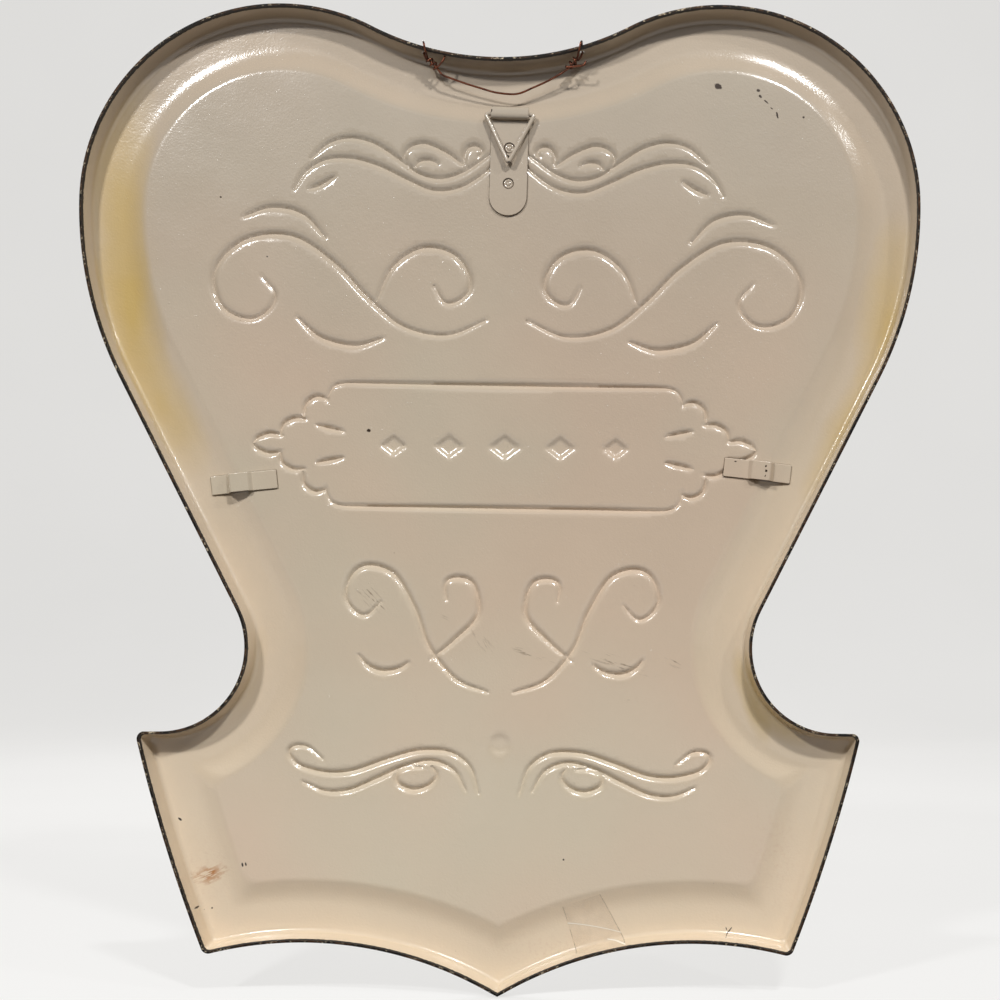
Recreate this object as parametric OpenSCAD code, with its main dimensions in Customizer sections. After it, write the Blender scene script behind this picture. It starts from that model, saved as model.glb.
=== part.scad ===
// Pressed steel wall sign with a rolled rim, a sunk border channel, an embossed field,
// a welded hanger strap with a swinging ring, two keeper straps and a twisted hanging wire.
// The display face looks along -Y and the open back along +Y.
// Everything is laid out from the bottom point of the rim, then moved so that
// the eye of the hanger strap is the origin.

/* [Outline] */
// Height of the dip in the top edge above the bottom point
dip_h = 469; // [455:0.5:485]
// Radius of the dip in the top edge
dip_r = 142; // [130:1:155]
// Angle that the top edge has climbed where the dip meets the lobe
dip_turn = 27; // [24:0.5:29]
// Radius of the round lobes at the top corners
lobe_r = 100; // [92:1:106]
// Radius of the side below the lobe
side_r = 188; // [170:1:210]
// Lean of the straight flank from upright
flank_lean = 26.8; // [24:0.1:29]
// Radius of the cove cut into the waist
cove_r = 42.2; // [36:0.2:48]
// Height of the cove's centre above the bottom point
cove_h = 174.3; // [166:0.1:182]
// Half width between the two shoulder tips below the coves
tip_x = 181.3; // [172:0.1:188]
// Half width between the two bottom corners
corner_x = 147; // [136:0.5:154]
// Height of the bottom corners above the bottom point
corner_h = 21.5; // [16:0.5:28]
// Radius of the slightly bowed lower side
lower_r = 820; // [500:10:1500]
// Distance from the middle to the high point of a bottom arch
arch_x = 97.5; // [90:0.5:104]
// Radius of the two bottom arches
arch_r = 190; // [170:1:220]
// Fillet radius of the outline's corners
corner_fillet = 2.5; // [1:0.1:4]

/* [Sheet] */
// Thickness of the sheet with its coats
sheet_t = 1.2; // [0.8:0.1:1.6]
// Height of the rim above the border channel
rim_h = 12; // [11:0.5:16]
// Outward lean of the rim from its bend to its edge
rim_flare = 2; // [0.5:0.1:3]
// Inside radius of the bend at the foot of the rim
rim_bend = 2.5; // [1.5:0.1:3.5]
// Distance from the outline to the start of the step
border_w = 15; // [12:0.5:20]
// Width of the soft step up to the field
step_w = 16.5; // [12:0.5:20]
// Height of the field above the border channel
step_h = 3; // [2:0.5:5]
// How late the step rises: 1 is an even wave, more starts it gently and ends it with a firmer edge
step_ease = 1.25; // [1:0.05:1.6]

/* [Embossing] */
// Depth of the embossed lines
relief = 1.9; // [0.6:0.1:2.4]
// Half width of an embossed line at the surface
line_w = 2.8; // [1.8:0.1:3.2]
// Turn of the embossing against the outline
emboss_turn = 0.75; // [0:0.05:2]
// Height of the round dimple, about which the embossing is turned
dimple_h = 125.5; // [120:0.5:132]
// Radius of the round dimple
dimple_r = 5.5; // [3:0.5:8]
// Height of the upper scrolls above the dimple
upper_scroll_h = 292; // [285:1:298]
// Depth of the lower scrolls below the dimple
lower_scroll_drop = 15.5; // [10:0.5:18]
// Height of the frame's centre above the dimple
frame_h = 150; // [145:1:155]
// Half length of the frame's straight top and bottom lines
frame_x = 84; // [78:0.5:88]
// Half height between the frame's top and bottom lines
frame_z = 31; // [26:0.5:34]
// Height of the upper flourish above the dimple
upper_flourish_h = 230; // [225:1:236]
// Height of the lower flourish above the dimple
lower_flourish_h = 62; // [56:1:68]

/* [Hanger] */
// Width of the hanger strap
strap_w = 19; // [16:0.1:19.2]
// Thickness of the hanger strap
strap_t = 1.2; // [0.8:0.1:1.6]
// Length of the strap from the eye to its round end
strap_len = 50.5; // [46:0.5:56]
// Height of the upper bend's centre of the strap's folded loop above the eye
loop_high = 1.1; // [0:0.05:1.1]
// Depth of the lower bend's centre of the loop below the eye
loop_low = 0.45; // [0:0.05:0.6]
// Turn of the whole hanger on the sign
hanger_turn = 1.5; // [0:0.1:3]
// Sideways place of the eye from the middle of the sign
eye_x = -4.4; // [-8:0.1:8]
// Height of the eye above the bottom point
eye_h = 442.5; // [436:0.5:444]
// Diameter of the plug weld holes
weld_hole_d = 5.4; // [4:0.1:7]
// Distance from the eye to the upper hole
upper_hole = 16.6; // [14:0.1:20]
// Distance from the eye to the lower hole
lower_hole = 34.5; // [30:0.1:38]
// Diameter of the ring's wire
ring_d = 2; // [1.5:0.1:2.4]
// Half width of the triangular ring between its corners
ring_half = 12.5; // [12.4:0.1:13.5]
// Distance from the ring's bar to its point
ring_drop = 26; // [22:0.5:27]
// Angle that the ring hangs out from the strap
ring_rest = 6; // [1:0.5:12]

/* [Keepers] */
// Length of a keeper strap
keeper_len = 34; // [30:0.5:40]
// Width of a keeper strap
keeper_w = 9.4; // [7:0.1:12]
// Thickness of a keeper strap
keeper_t = 1; // [0.8:0.1:1.4]
// Clear height under the raised middle, over the field
keeper_gap = 2.4; // [2:0.1:4]
// Width of the raised middle's flat top
keeper_top = 8.6; // [7:0.1:12]
// Width of the ramp between the raised middle and a foot
keeper_ramp = 1.9; // [1.5:0.1:3]
// Distance of the raised middle outwards from the strap's own middle
keeper_shift = 1.8; // [0:0.1:3]
// Level distance of the raised middle from the straight flank
keeper_inset = 33.8; // [31:0.1:36]
// Height of the keepers above the bottom point
keeper_h = 260.4; // [250:0.1:270]
// How much higher one keeper sits than the other
keeper_skew = 6.8; // [0:0.1:8]
// Tilt of the keepers, inner end up
keeper_tilt = 6; // [0:0.1:10]

/* [Hanging wire] */
// Diameter of the hanging wire
wire_d = 1; // [0.8:0.1:1.2]
// Turns that each end makes round the standing wire
twist_turns = 2.5; // [1.5:0.5:3]
// Distance from the standing wire to the end twisted round it
twist_r = 1.5; // [1.4:0.1:1.8]

/* [Hidden] */

// Clearances between pieces
eye_play = 0.1;
ring_lift = 0.3;
weld_play = 0.05;
weld_sink = 0.5;
merge = 0.3;

// Colours of the finishes
back_paint = [0.78, 0.72, 0.62];
copper = [0.45, 0.24, 0.15];

// Facets on one stretch of the outline
n_dip = 5;
n_lobe = 14;
n_side = 4;
n_flank = 2;
n_cove = 8;
n_fillet = 3;
n_lower = 3;
n_arch = 6;
n_step = 5;
line_steps = 2;

function polar(c, r, a) = [c[0] + r * cos(a), c[1] + r * sin(a)];
function arc(c, r, a0, a1, n) = [for (i = [0:n]) polar(c, r, a0 + (a1 - a0) * i / n)];
function direction(v) = atan2(v[1], v[0]);
function unit(v) = v / norm(v);
function tail(list) = [for (i = [1:len(list) - 1]) list[i]];
function flip_x(list) = [for (p = list) [-p[0], p[1]]];
function backwards(list) = [for (i = [len(list) - 1:-1:0]) list[i]];

// Centre of the circle of radius r through p and q, on the left of the way from p to q
function centre_left(p, q, r) =
    let (half = norm(q - p) / 2, mid = (p + q) / 2, n = [p[1] - q[1], q[0] - p[0]] / (2 * half))
    mid + n * sqrt(r * r - half * half);

// Meeting point of two circles, on the left of the way from c1 to c2
function meet_left(c1, r1, c2, r2) =
    let (
        d = norm(c2 - c1),
        u = (c2 - c1) / d,
        a = (d * d + r1 * r1 - r2 * r2) / (2 * d),
        h = sqrt(r1 * r1 - a * a)
    )
    c1 + a * u + h * [-u[1], u[0]];

// Centres of the arcs that make up the outline, from the top middle to the bottom point
dip_c = [0, dip_h + dip_r];
lobe_c = polar(dip_c, dip_r + lobe_r, dip_turn - 90);
side_turn = 1;
side_c = polar(lobe_c, lobe_r - side_r, side_turn);
flank_top = polar(side_c, side_r, -flank_lean);
flank_n = [cos(flank_lean), -sin(flank_lean)];
flank_len = (flank_top[1] + cove_r * flank_n[1] - cove_h) / cos(flank_lean);
flank_end = flank_top - flank_len * [sin(flank_lean), cos(flank_lean)];
cove_c = flank_end + cove_r * flank_n;
tip = [tip_x, cove_h - cove_r];
lower_c = centre_left([corner_x, corner_h], tip, lower_r);
arch_c = [arch_x, -sqrt(arch_r * arch_r - arch_x * arch_x)];

// Shoulder tip and bottom corner of the outline moved inwards by d. Far inwards the
// level shoulder is gone, and the tip lies where the cove meets the lower side.
function tip_at(d) =
    let (
        z = tip[1] - d,
        r = lower_r - d,
        dz = z - lower_c[1],
        level = [lower_c[0] + sqrt(r * r - dz * dz), z]
    )
    level[0] > cove_c[0] ? level : meet_left(cove_c, cove_r + d, lower_c, r);
function corner_at(d) = meet_left(lower_c, lower_r - d, arch_c, arch_r + d);

// Right half of the outline moved inwards by d, with corner fillets of radius f
function half_ring(d, f) =
    let (
        tip_f = tip_at(d + f),
        corner_f = corner_at(d + f),
        side_hi = direction(tip_f - lower_c),
        side_lo = direction(corner_f - lower_c),
        cove_end = tip_f[0] > cove_c[0] ? 270 : 360 + direction(tip_f - cove_c),
        arch_start = direction(corner_f - arch_c),
        arch_end = 180 - acos(arch_x / (arch_r + d))
    )
    concat(
        arc(dip_c, dip_r + d, -90, dip_turn - 90, n_dip),
        tail(arc(lobe_c, lobe_r - d, dip_turn + 90, side_turn, n_lobe)),
        tail(arc(side_c, side_r - d, side_turn, -flank_lean, n_side)),
        [for (i = [1:n_flank - 1]) let (k = i / n_flank) flank_top * (1 - k) + flank_end * k - d * flank_n],
        arc(cove_c, cove_r + d, 180 - flank_lean, cove_end, n_cove),
        tail(arc(tip_f, f, cove_end - 180, side_hi, n_fillet + 1)),
        tail(arc(lower_c, lower_r - d, side_hi, side_lo, n_lower)),
        tail(arc(corner_f, f, side_lo, arch_start - 180, n_fillet)),
        tail(arc(arch_c, arch_r + d, arch_start, arch_end, n_arch))
    );

// Whole outline moved inwards by d, clockwise as the display face is seen
function ring(d, f) =
    let (right = half_ring(d, f), n = len(right))
    concat(right, flip_x([for (i = [n - 2:-1:1]) right[i]]));

// Profile of the sheet as [distance from the outline, height, corner fillet]
bend_d = sheet_t + rim_flare + rim_bend;
bend_out = rim_bend + sheet_t;
field_d = border_w + step_w;
function step_y(s) = step_h * (1 - cos(180 * pow(s, step_ease))) / 2;
function step_rows(drop) =
    [for (i = [0:n_step]) [border_w + step_w * i / n_step, step_y(i / n_step) - drop, 3 + i]];
back_rows = concat(
    [[sheet_t, rim_h, corner_fillet],
     [sheet_t + rim_flare, rim_bend, corner_fillet],
     [bend_d - rim_bend * cos(45), rim_bend * (1 - sin(45)), corner_fillet],
     [bend_d, 0, 3]],
    step_rows(0)
);
front_rows = concat(
    [[0, rim_h, corner_fillet],
     [rim_flare, rim_bend, corner_fillet],
     [bend_d - bend_out * cos(45), rim_bend - bend_out * sin(45), corner_fillet],
     [bend_d, -sheet_t, 3]],
    step_rows(sheet_t)
);

// Closed skin over a stack of rings with equal point counts
module skin(rings) {
    n = len(rings[0]);
    m = len(rings);
    walls = [for (i = [0:m - 2], j = [0:n - 1])
        let (a = i * n + j, b = i * n + (j + 1) % n)
        each [[a, b, b + n], [a, b + n, a + n]]];
    caps = [[for (j = [n - 1:-1:0]) j], [for (j = [0:n - 1]) (m - 1) * n + j]];
    polyhedron([for (r = rings) each r], concat(walls, caps), convexity = 10);
}

module bare_sheet() {
    rows = concat(backwards(back_rows), front_rows);
    skin([for (r = rows) [for (p = ring(r[0], r[2])) [p[0], r[1], p[1]]]]);
}

// Smooth curve through the points of a line: its way at a point halves the turn
// there, and a short step next to a long one doesn't overshoot
function way_at(p, i) =
    let (
        after = i < len(p) - 1 ? p[i + 1] - p[i] : p[i] - p[i - 1],
        before = i > 0 ? p[i] - p[i - 1] : after
    )
    unit(unit(after) + unit(before)) * min(norm(after), norm(before));
function curve_at(p, i, t) =
    let (k = t * t * (3 - 2 * t))
    (1 - k) * p[i] + k * p[i + 1] + t * (1 - t) * ((1 - t) * way_at(p, i) - t * way_at(p, i + 1));
function curve(p, n) =
    concat([for (i = [0:len(p) - 2], k = [0:n - 1]) curve_at(p, i, k / n)], [p[len(p) - 1]]);

// Fullness of an embossed line: thin at both ends, full between them
function fullness(k) = 0.3 + 0.7 * pow(sin(180 * min(max(k, 0), 1)), 0.6);

// One embossed line, as the groove in the back or as the ridge on the face
module line(points, on_back, width = line_w) {
    p = curve(points, len(points) > 4 ? line_steps : 1);
    n = len(p);
    surface = on_back ? step_h : step_h - sheet_t;
    wide = on_back ? width : width + sheet_t * 0.6;
    skin([for (i = [0:n - 1])
        let (
            way = unit(way_at(p, i)),
            side = [way[1], -way[0]],
            full = fullness(i / (n - 1)),
            rim = wide * full + (on_back ? merge : 0),
            deep = surface - relief * full
        )
        [for (s = [[rim, surface + merge], [0, deep], [-rim, surface + merge]])
            [p[i][0] + side[0] * s[0], s[1], p[i][1] + side[1] * s[0]]]]);
}

// Embossed pad between two round spots, as a leaf or a teardrop
module pad(a, ra, b, rb, on_back, more = []) {
    surface = on_back ? step_h : step_h - sheet_t;
    grow = on_back ? 0 : sheet_t * 0.6;
    hull() {
        for (s = concat([[a, ra + grow], [b, rb + grow]], [for (c = more) [c, rb + grow]]))
            translate([s[0][0], surface + merge, s[0][1]])
                rotate([90, 0, 0])
                    cylinder(h = relief * 0.8 + merge, r1 = s[1], r2 = s[1] * 0.5, $fn = 8);
    }
}

// Lines of one half of each ornament, as [distance from the middle, height]
upper_scroll = [
    [[101, 5], [88, 12.5], [70, 10], [50, -3], [30, -7], [15, 3]],
    [[109, -12.5], [99, -1], [82, 2], [58, -5], [33, -13.5], [12, -3]],
    [[24, 2], [33, 7.5], [44, 11.5], [53, 7], [52, 1], [43, -4], [33, -3.5]],
    [[23.5, 3], [21.5, 9.5], [16, 7.5]],
    [[102.5, -11.5], [98, -7], [88, -4]]
];
lower_scroll = [
    [[89, 6.5], [98, 13], [106, 11], [102, 4], [84, -0.5], [52, 8.5], [25, 11], [10, -10]],
    [[99, -5], [84, -10], [66, -5], [44, 4.5], [27, 4.5], [16.5, -8.5]],
    [[47, 3.5], [53, -2], [48, -8.5], [38, -9], [31, -1.5], [35, 3.5]]
];
frame_end = [
    [[89, 22.5], [97, 24], [101.5, 15]],
    [[101, 12.5], [108, 12.5], [112, 5]],
    [[112, 4], [121, 4.5], [127, 0]]
];
upper_flourish = [
    [[10, -16], [42, -24], [74, -2], [106, 25], [140, 18], [146, -8], [127, -17], [117, -6], [124, 4]],
    [[66, -8], [56, 12], [34, 19], [19, 4], [28, -8], [37, 1]],
    [[92, 24], [112, 38], [134, 34]]
];
lower_flourish = [
    [[6, -36], [32, -20], [46, 10], [62, 27], [78, 18], [72, 3], [61, 9]],
    [[36, -18], [18, -6], [13, 14], [28, 21], [28, 10]],
    [[46, -22], [60, -26], [72, -18]]
];
lozenge_gap = 28;
lozenge_w = 9;
lozenge_z = 6.5;

// Lays both halves of an ornament at its height
module pair(lines, height, on_back) {
    for (half = [-1, 1], points = lines)
        line([for (p = points) [half * p[0], height + p[1]]], on_back);
}

module frame_lines(on_back) {
    bow = 4;
    for (side = [-1, 1]) {
        top = [[frame_x + 6, 21], [frame_x + 4, 27], [frame_x - bow, frame_z], [0, frame_z]];
        whole = concat(top, backwards(flip_x([for (i = [0:len(top) - 2]) top[i]])));
        line([for (p = whole) [p[0], frame_h + side * p[1]]], on_back, line_w * 0.9);
        for (half = [-1, 1], points = frame_end)
            line([for (p = points) [half * p[0], frame_h + side * p[1]]], on_back, line_w * 0.7);
        for (half = [-1, 1])
            pad([half * 93, frame_h + side * 9], 1.5, [half * 82, frame_h + side * 6.5], 2.8, on_back);
    }
    for (i = [-2:2])
        let (x = i * lozenge_gap, w = lozenge_w - abs(i), z = lozenge_z - 0.3 * i * i)
            pad([x - w, frame_h], 1, [x + w, frame_h], 1, on_back, [[x, frame_h - z], [x, frame_h + z]]);
}

module embossing(on_back) {
    translate([0, 0, dimple_h])
        rotate([0, -emboss_turn, 0]) {
            pad([0, 0], dimple_r, [0, 0.1], dimple_r, on_back);
            pair(upper_scroll, upper_scroll_h, on_back);
            pair(lower_scroll, -lower_scroll_drop, on_back);
            pair(upper_flourish, upper_flourish_h, on_back);
            pair(lower_flourish, lower_flourish_h, on_back);
            frame_lines(on_back);
        }
}

// Holes in the top rim that the hanging wire is threaded through
wire_hole_x = [38.5, -40.5];
wire_hole_y = 7.5;
wire_hole_r = 1.5;
function rim_z(x) = dip_c[1] - sqrt(dip_r * dip_r - x * x);
module wire_holes() {
    for (x = wire_hole_x)
        translate([x, wire_hole_y, rim_z(x) - 6])
            cylinder(h = 10, r = wire_hole_r, $fn = 10);
}

// Moves a piece from the layout at the bottom point to the frame at the eye
eye_y = step_h + strap_t + ring_lift + ring_d / 2;
module placed() {
    translate([-eye_x, -eye_y, -eye_h])
        children();
}
// Places a hanger piece that is drawn round the eye
module at_eye() {
    rotate([0, -hanger_turn, 0])
        children();
}

module sign_panel() {
    color(back_paint)
        placed()
            difference() {
                union() {
                    bare_sheet();
                    embossing(false);
                }
                embossing(true);
                wire_holes();
            }
}

// Side view of the strap's top: it is folded forwards over the ring's bar and back under it,
// with a slit between its end and its flat part
eye_r = ring_d / 2 + eye_play;
loop_r = eye_r + strap_t;
strap_back = step_h - eye_y;
strap_front = strap_back + strap_t;
strap_rise = 5;
fold_slit = 0.5;
module loop_shape(r) {
    for (z = [loop_high, -loop_low])
        translate([0, z])
            circle(r = r, $fn = 64);
    translate([-r, -loop_low])
        square([2 * r, loop_high + loop_low]);
}
module eye_profile() {
    difference() {
        loop_shape(loop_r);
        loop_shape(eye_r);
        translate([-2 * loop_r, -loop_low - 2 * loop_r])
            square([2 * loop_r + strap_front + fold_slit, 2 * loop_r]);
    }
    polygon([[-loop_r, 0], [strap_back, -strap_rise], [strap_front, -strap_rise], [-eye_r, 0]]);
}

module hanger_strap() {
    color(back_paint)
        at_eye() {
            translate([-strap_w / 2, 0, 0])
                rotate([90, 0, 90])
                    linear_extrude(height = strap_w)
                        eye_profile();
            difference() {
                translate([0, strap_back, 0])
                    rotate([-90, 0, 0])
                        linear_extrude(height = strap_t)
                            strap_outline();
                for (h = [upper_hole, lower_hole])
                    translate([0, strap_back - strap_t, -h])
                        rotate([-90, 0, 0])
                            cylinder(h = 3 * strap_t, d = weld_hole_d, $fn = 64);
            }
        }
}

// Flat part of the strap with its round end, drawn downwards
module strap_outline() {
    end = strap_w / 2;
    translate([-end, strap_rise - merge])
        square([strap_w, strap_len - end - strap_rise + merge]);
    translate([0, strap_len - end])
        circle(r = end, $fn = 96);
}

module strap_welds() {
    color(back_paint)
        at_eye()
            for (h = [upper_hole, lower_hole])
                translate([0, strap_back, -h])
                    rotate([-90, 0, 0])
                        cylinder(h = strap_t - weld_sink, d = weld_hole_d - 2 * weld_play, $fn = 64);
}

// Triangular ring: three straight runs joined by bent corners
ring_bend = ring_d * 0.6;
bend_swell = 0.04;
bend_lap = 0.25;
ring_lean = atan(ring_half / ring_drop);
side_cut = ring_bend * tan((90 + ring_lean) / 2);
point_cut = ring_bend * tan((180 - 2 * ring_lean) / 2);
side_len = norm([ring_half, ring_drop]);
module ring_bar(length) {
    translate([0, 0, -bend_lap])
        cylinder(h = length + 2 * bend_lap, d = ring_d, $fn = 48);
}
module ring_corner(turn) {
    rotate_extrude(angle = turn, $fn = 96)
        translate([ring_bend, 0])
            circle(d = ring_d + 2 * bend_swell, $fn = 48);
}

module hanger_ring() {
    bar_half = ring_half - side_cut;
    color(back_paint)
        at_eye()
            rotate([ring_rest, 0, 0]) {
                translate([-bar_half, 0, 0])
                    rotate([0, 90, 0])
                        ring_bar(2 * bar_half);
                for (side = [0, 1])
                    mirror([side, 0, 0]) {
                        translate([bar_half, 0, -ring_bend])
                            rotate([90, 0, 0])
                                rotate([0, 0, -ring_lean])
                                    ring_corner(90 + ring_lean);
                        translate([ring_half, 0, 0])
                            rotate([0, 180 + ring_lean, 0])
                                translate([0, 0, side_cut])
                                    ring_bar(side_len - side_cut - point_cut);
                    }
                translate([0, 0, ring_bend / sin(ring_lean) - ring_drop])
                    rotate([90, 0, 0])
                        rotate([0, 0, 180 + ring_lean])
                            ring_corner(180 - 2 * ring_lean);
            }
}

// Height of the sheet's back at a distance from the outline
function back_y(d) = lookup(d, [for (row = step_rows(0)) [row[0], row[1]]]);
function flank_x(height) = flank_top[0] - (flank_top[1] - height) * tan(flank_lean);
keeper_x = flank_x(keeper_h) - keeper_inset;

// Side view of a keeper: the raised middle stands over the step, between two feet that
// follow the sheet, one up on the field and one down on the border
keeper_round = 0.8;
function bent(p, r, n) =
    concat([p[0]], [for (i = [1:len(p) - 2])
        let (
            u = unit(p[i] - p[i - 1]),
            v = unit(p[i + 1] - p[i]),
            turn = atan2(u[0] * v[1] - u[1] * v[0], u * v),
            cut = r * tan(abs(turn) / 2),
            s = turn < 0 ? -1 : 1,
            c = p[i] - cut * u + s * r * [-u[1], u[0]],
            a = direction(p[i] - cut * u - c)
        )
        each abs(turn) < 12 ? [p[i]] : arc(c, r, a, a + turn, n)], [p[len(p) - 1]]);
module keeper(height) {
    half_t = keeper_t / 2;
    edge = keeper_top / 2;
    lean = flank_lean - keeper_tilt;
    middle_d = (flank_x(height) - keeper_x) * cos(flank_lean);
    toe = keeper_len / 2 - keeper_shift;
    heel = edge + keeper_ramp;
    foot = toe - heel;
    top_y = step_h + keeper_gap + half_t;
    feet = [for (u = [-keeper_len / 2 - keeper_shift, -heel - foot / 2, -heel, -edge, edge,
                      heel, heel + foot / 4, heel + foot / 2, heel + foot * 3 / 4, toe])
        [u, abs(u) > edge ? back_y(middle_d - u * cos(lean) + keeper_w / 2 * sin(lean)) + half_t : top_y]];
    path = bent(feet, keeper_round, 3);
    n = len(path);
    normals = [for (i = [0:n - 1])
        let (w = path[min(i + 1, n - 1)] - path[max(i - 1, 0)])
        [-w[1], w[0]] / norm(w)];
    upper = [for (i = [0:n - 1]) path[i] + normals[i] * half_t];
    under = [for (i = [0:n - 1]) path[i] - normals[i] * half_t];
    translate([0, 0, -keeper_w / 2])
        linear_extrude(height = keeper_w)
            polygon(concat(upper, backwards(under)));
}
module keeper_left() {
    h = keeper_h - keeper_skew / 2;
    color(back_paint)
        placed()
            translate([keeper_x, 0, h])
                rotate([0, keeper_tilt, 0])
                    keeper(h);
}
module keeper_right() {
    h = keeper_h + keeper_skew / 2;
    color(back_paint)
        placed()
            mirror([1, 0, 0])
                translate([keeper_x, 0, h])
                    rotate([0, keeper_tilt, 0])
                        keeper(h);
}

// Hanging wire, laid out from the bottom point like the sheet
twist_a = [[32, 8, 464.5], [36.5, 8.5, 469]];
twist_b = [[-33.5, 8, 464.5], [-38, 8.5, 469.5]];
end_a = [[28, 9.5, 470], [29, 10, 467.5]];
end_b = [[-42.5, 10, 467.5], [-41.5, 10.5, 465.5]];
over_a = [[38.5, 7.5, 471.5], [38.5, 7.5, 475], [38.5, 9, 476.5], [38.5, 11.5, 476.5],
          [38, 13.2, 475], [37.5, 13, 472.5], [37, 10.5, 470.5]];
over_b = [[-40.5, 7.5, 472], [-40.5, 7.5, 475.5], [-40.5, 9, 477], [-40.5, 11.5, 477],
          [-40, 13.2, 475.5], [-39.5, 13, 473], [-38.8, 10.5, 471]];
slack = [[29.5, 7.5, 461.5], [20, 7, 458], [10, 6.5, 455], [2, 6, 453], [-8, 6, 452.5],
         [-16, 6.5, 455.5], [-25, 7, 459.5]];

// Turns of the wire's end round its standing part, from axis[0] to axis[1]
function twist(axis, start, n = 8) =
    let (
        way = axis[1] - axis[0],
        u = way / norm(way),
        across = [-u[2], 0, u[0]],
        out = [0, 1, 0] - u * u[1],
        total = twist_turns * n
    )
    [for (i = [0:total])
        let (a = start + 360 * i / n)
        axis[0] + way * i / total + twist_r * (cos(a) * across + sin(a) * out)];
wire_path = concat(
    end_a, twist(twist_a, 60), over_a, [twist_a[1], twist_a[0]], slack,
    [twist_b[0], twist_b[1]], backwards(over_b), backwards(twist(twist_b, 120)), backwards(end_b)
);

// Least gap between stretches of the wire that lie three or more rings apart
wire_gap = min([for (i = [0:len(wire_path) - 5], j = [i + 4:len(wire_path) - 1])
    norm(wire_path[i] - wire_path[j])]) - wire_d;
echo(wire_gap = wire_gap, wire_rings = len(wire_path));

// Frame carried along a path, so that the swept section doesn't turn on itself
function ways(p) = [for (i = [0:len(p) - 1])
    unit(p[min(i + 1, len(p) - 1)] - p[max(i - 1, 0)])];
function level(v, w) = unit(v - w * (v * w));
function carried(w, i, v) = i == len(w) ? [] : let (n = level(v, w[i])) concat([n], carried(w, i + 1, n));
module tube(path, d, sides = 8) {
    w = ways(path);
    first = carried(w, 0, [0, 1, 0.1]);
    skin([for (i = [0:len(path) - 1])
        let (u = first[i], v = cross(u, w[i]))
        [for (k = [0:sides - 1])
            let (a = 360 * k / sides)
            path[i] + d / 2 * (cos(a) * u + sin(a) * v)]]);
}

module hanging_wire() {
    color(copper)
        placed()
            tube(wire_path, wire_d);
}

sign_panel();
hanger_strap();
strap_welds();
hanger_ring();
keeper_left();
keeper_right();
hanging_wire();
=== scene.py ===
"""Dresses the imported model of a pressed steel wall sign: sheet, fittings, wire, paint and stage."""

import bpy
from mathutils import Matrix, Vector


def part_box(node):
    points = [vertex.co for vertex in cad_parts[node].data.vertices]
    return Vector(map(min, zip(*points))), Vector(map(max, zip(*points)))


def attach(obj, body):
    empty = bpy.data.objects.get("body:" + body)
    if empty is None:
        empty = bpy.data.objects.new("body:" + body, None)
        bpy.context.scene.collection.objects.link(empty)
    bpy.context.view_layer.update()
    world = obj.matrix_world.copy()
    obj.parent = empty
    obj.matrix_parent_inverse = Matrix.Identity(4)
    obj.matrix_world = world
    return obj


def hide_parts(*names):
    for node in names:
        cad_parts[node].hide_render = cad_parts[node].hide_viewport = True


bl_info = {
    "name": "Pressed Wall Sign",
    "version": (1, 0, 0),
    "blender": (4, 5, 0),
    "location": "View3D > Sidebar > Wall Sign",
    "description": "Builds a pressed steel wall sign with its hanger, keepers, wire and aged paint",
    "category": "Add Mesh",
}

import math
from contextlib import contextmanager

import bpy
import numpy as np
from bpy.props import FloatProperty, FloatVectorProperty, PointerProperty
from mathutils import Matrix, Vector
from mathutils.geometry import delaunay_2d_cdt

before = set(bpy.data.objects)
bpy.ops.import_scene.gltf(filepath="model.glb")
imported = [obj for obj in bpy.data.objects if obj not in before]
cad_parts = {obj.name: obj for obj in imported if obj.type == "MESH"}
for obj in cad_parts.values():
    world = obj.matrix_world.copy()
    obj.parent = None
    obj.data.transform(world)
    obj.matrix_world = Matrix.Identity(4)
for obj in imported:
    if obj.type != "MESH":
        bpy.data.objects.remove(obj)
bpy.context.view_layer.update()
SHEET_LOW, SHEET_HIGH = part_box("sign_panel")

MM = 0.001

# The sheet is laid out in millimetres from the bottom point of the rim: x to the side,
# y out of the open back, z up. The height of the border channel's back is y = 0.
RIM_H = 12.0
MIDDLE_X = (SHEET_LOW.x + SHEET_HIGH.x) / 2
BOTTOM_Z = SHEET_LOW.z
BORDER_Y = SHEET_HIGH.y - RIM_H * MM

# Outline of the sign
DIP_H, DIP_R, DIP_TURN = 469.0, 142.0, 27.0
LOBE_R, SIDE_R, SIDE_TURN = 100.0, 188.0, 1.0
FLANK_LEAN = 26.8
COVE_R, COVE_H = 42.2, 174.3
TIP_X, CORNER_X, CORNER_H, LOWER_R = 181.3, 147.0, 21.5, 820.0
ARCH_X, ARCH_R = 97.5, 190.0

# Rim, border channel and step up to the field
RIM_FLARE, RIM_BEND = 2.0, 2.5
BORDER_W, STEP_W, STEP_H = 17.0, 14.5, 3.0
STEP_SOFT, STEP_TIGHT = 8.0, 2.5
CORNER_FILLET = 2.5
# Inset that the points of the field are given, beyond the step's, so that they count as field
FIELD_INSET = 99.0

# Where the waves of the sheet start and over what width they grow, inwards from the outline, and
# the share of the step over which the paint changes from the channel's to the field's
WAVE_START, WAVE_FADE, CHANNEL_FADE = 6, 16, 0.3

# Embossing, turned a little about the dimple as on the real sheet
DIMPLE_H, DIMPLE_R, DIMPLE_SHARE = 125.5, 5.5, 0.42
EMBOSS_TURN = 0.75

# An embossed line's share of depth at its ends, the power of its profile, and how far it is looked for
END_SHARE, EMBOSS_POWER, EMBOSS_REACH = 0.35, 1.6, 12

# Mesh of the field: gap between lattice points, gap between their rows, and how near to an
# embossed line the lattice is kept whole or at every second point
GRID, ROW_GAP = 1.25, 1.25 * 0.866
WHOLE_NEAR, HALF_NEAR = 0.7, 4
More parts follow.
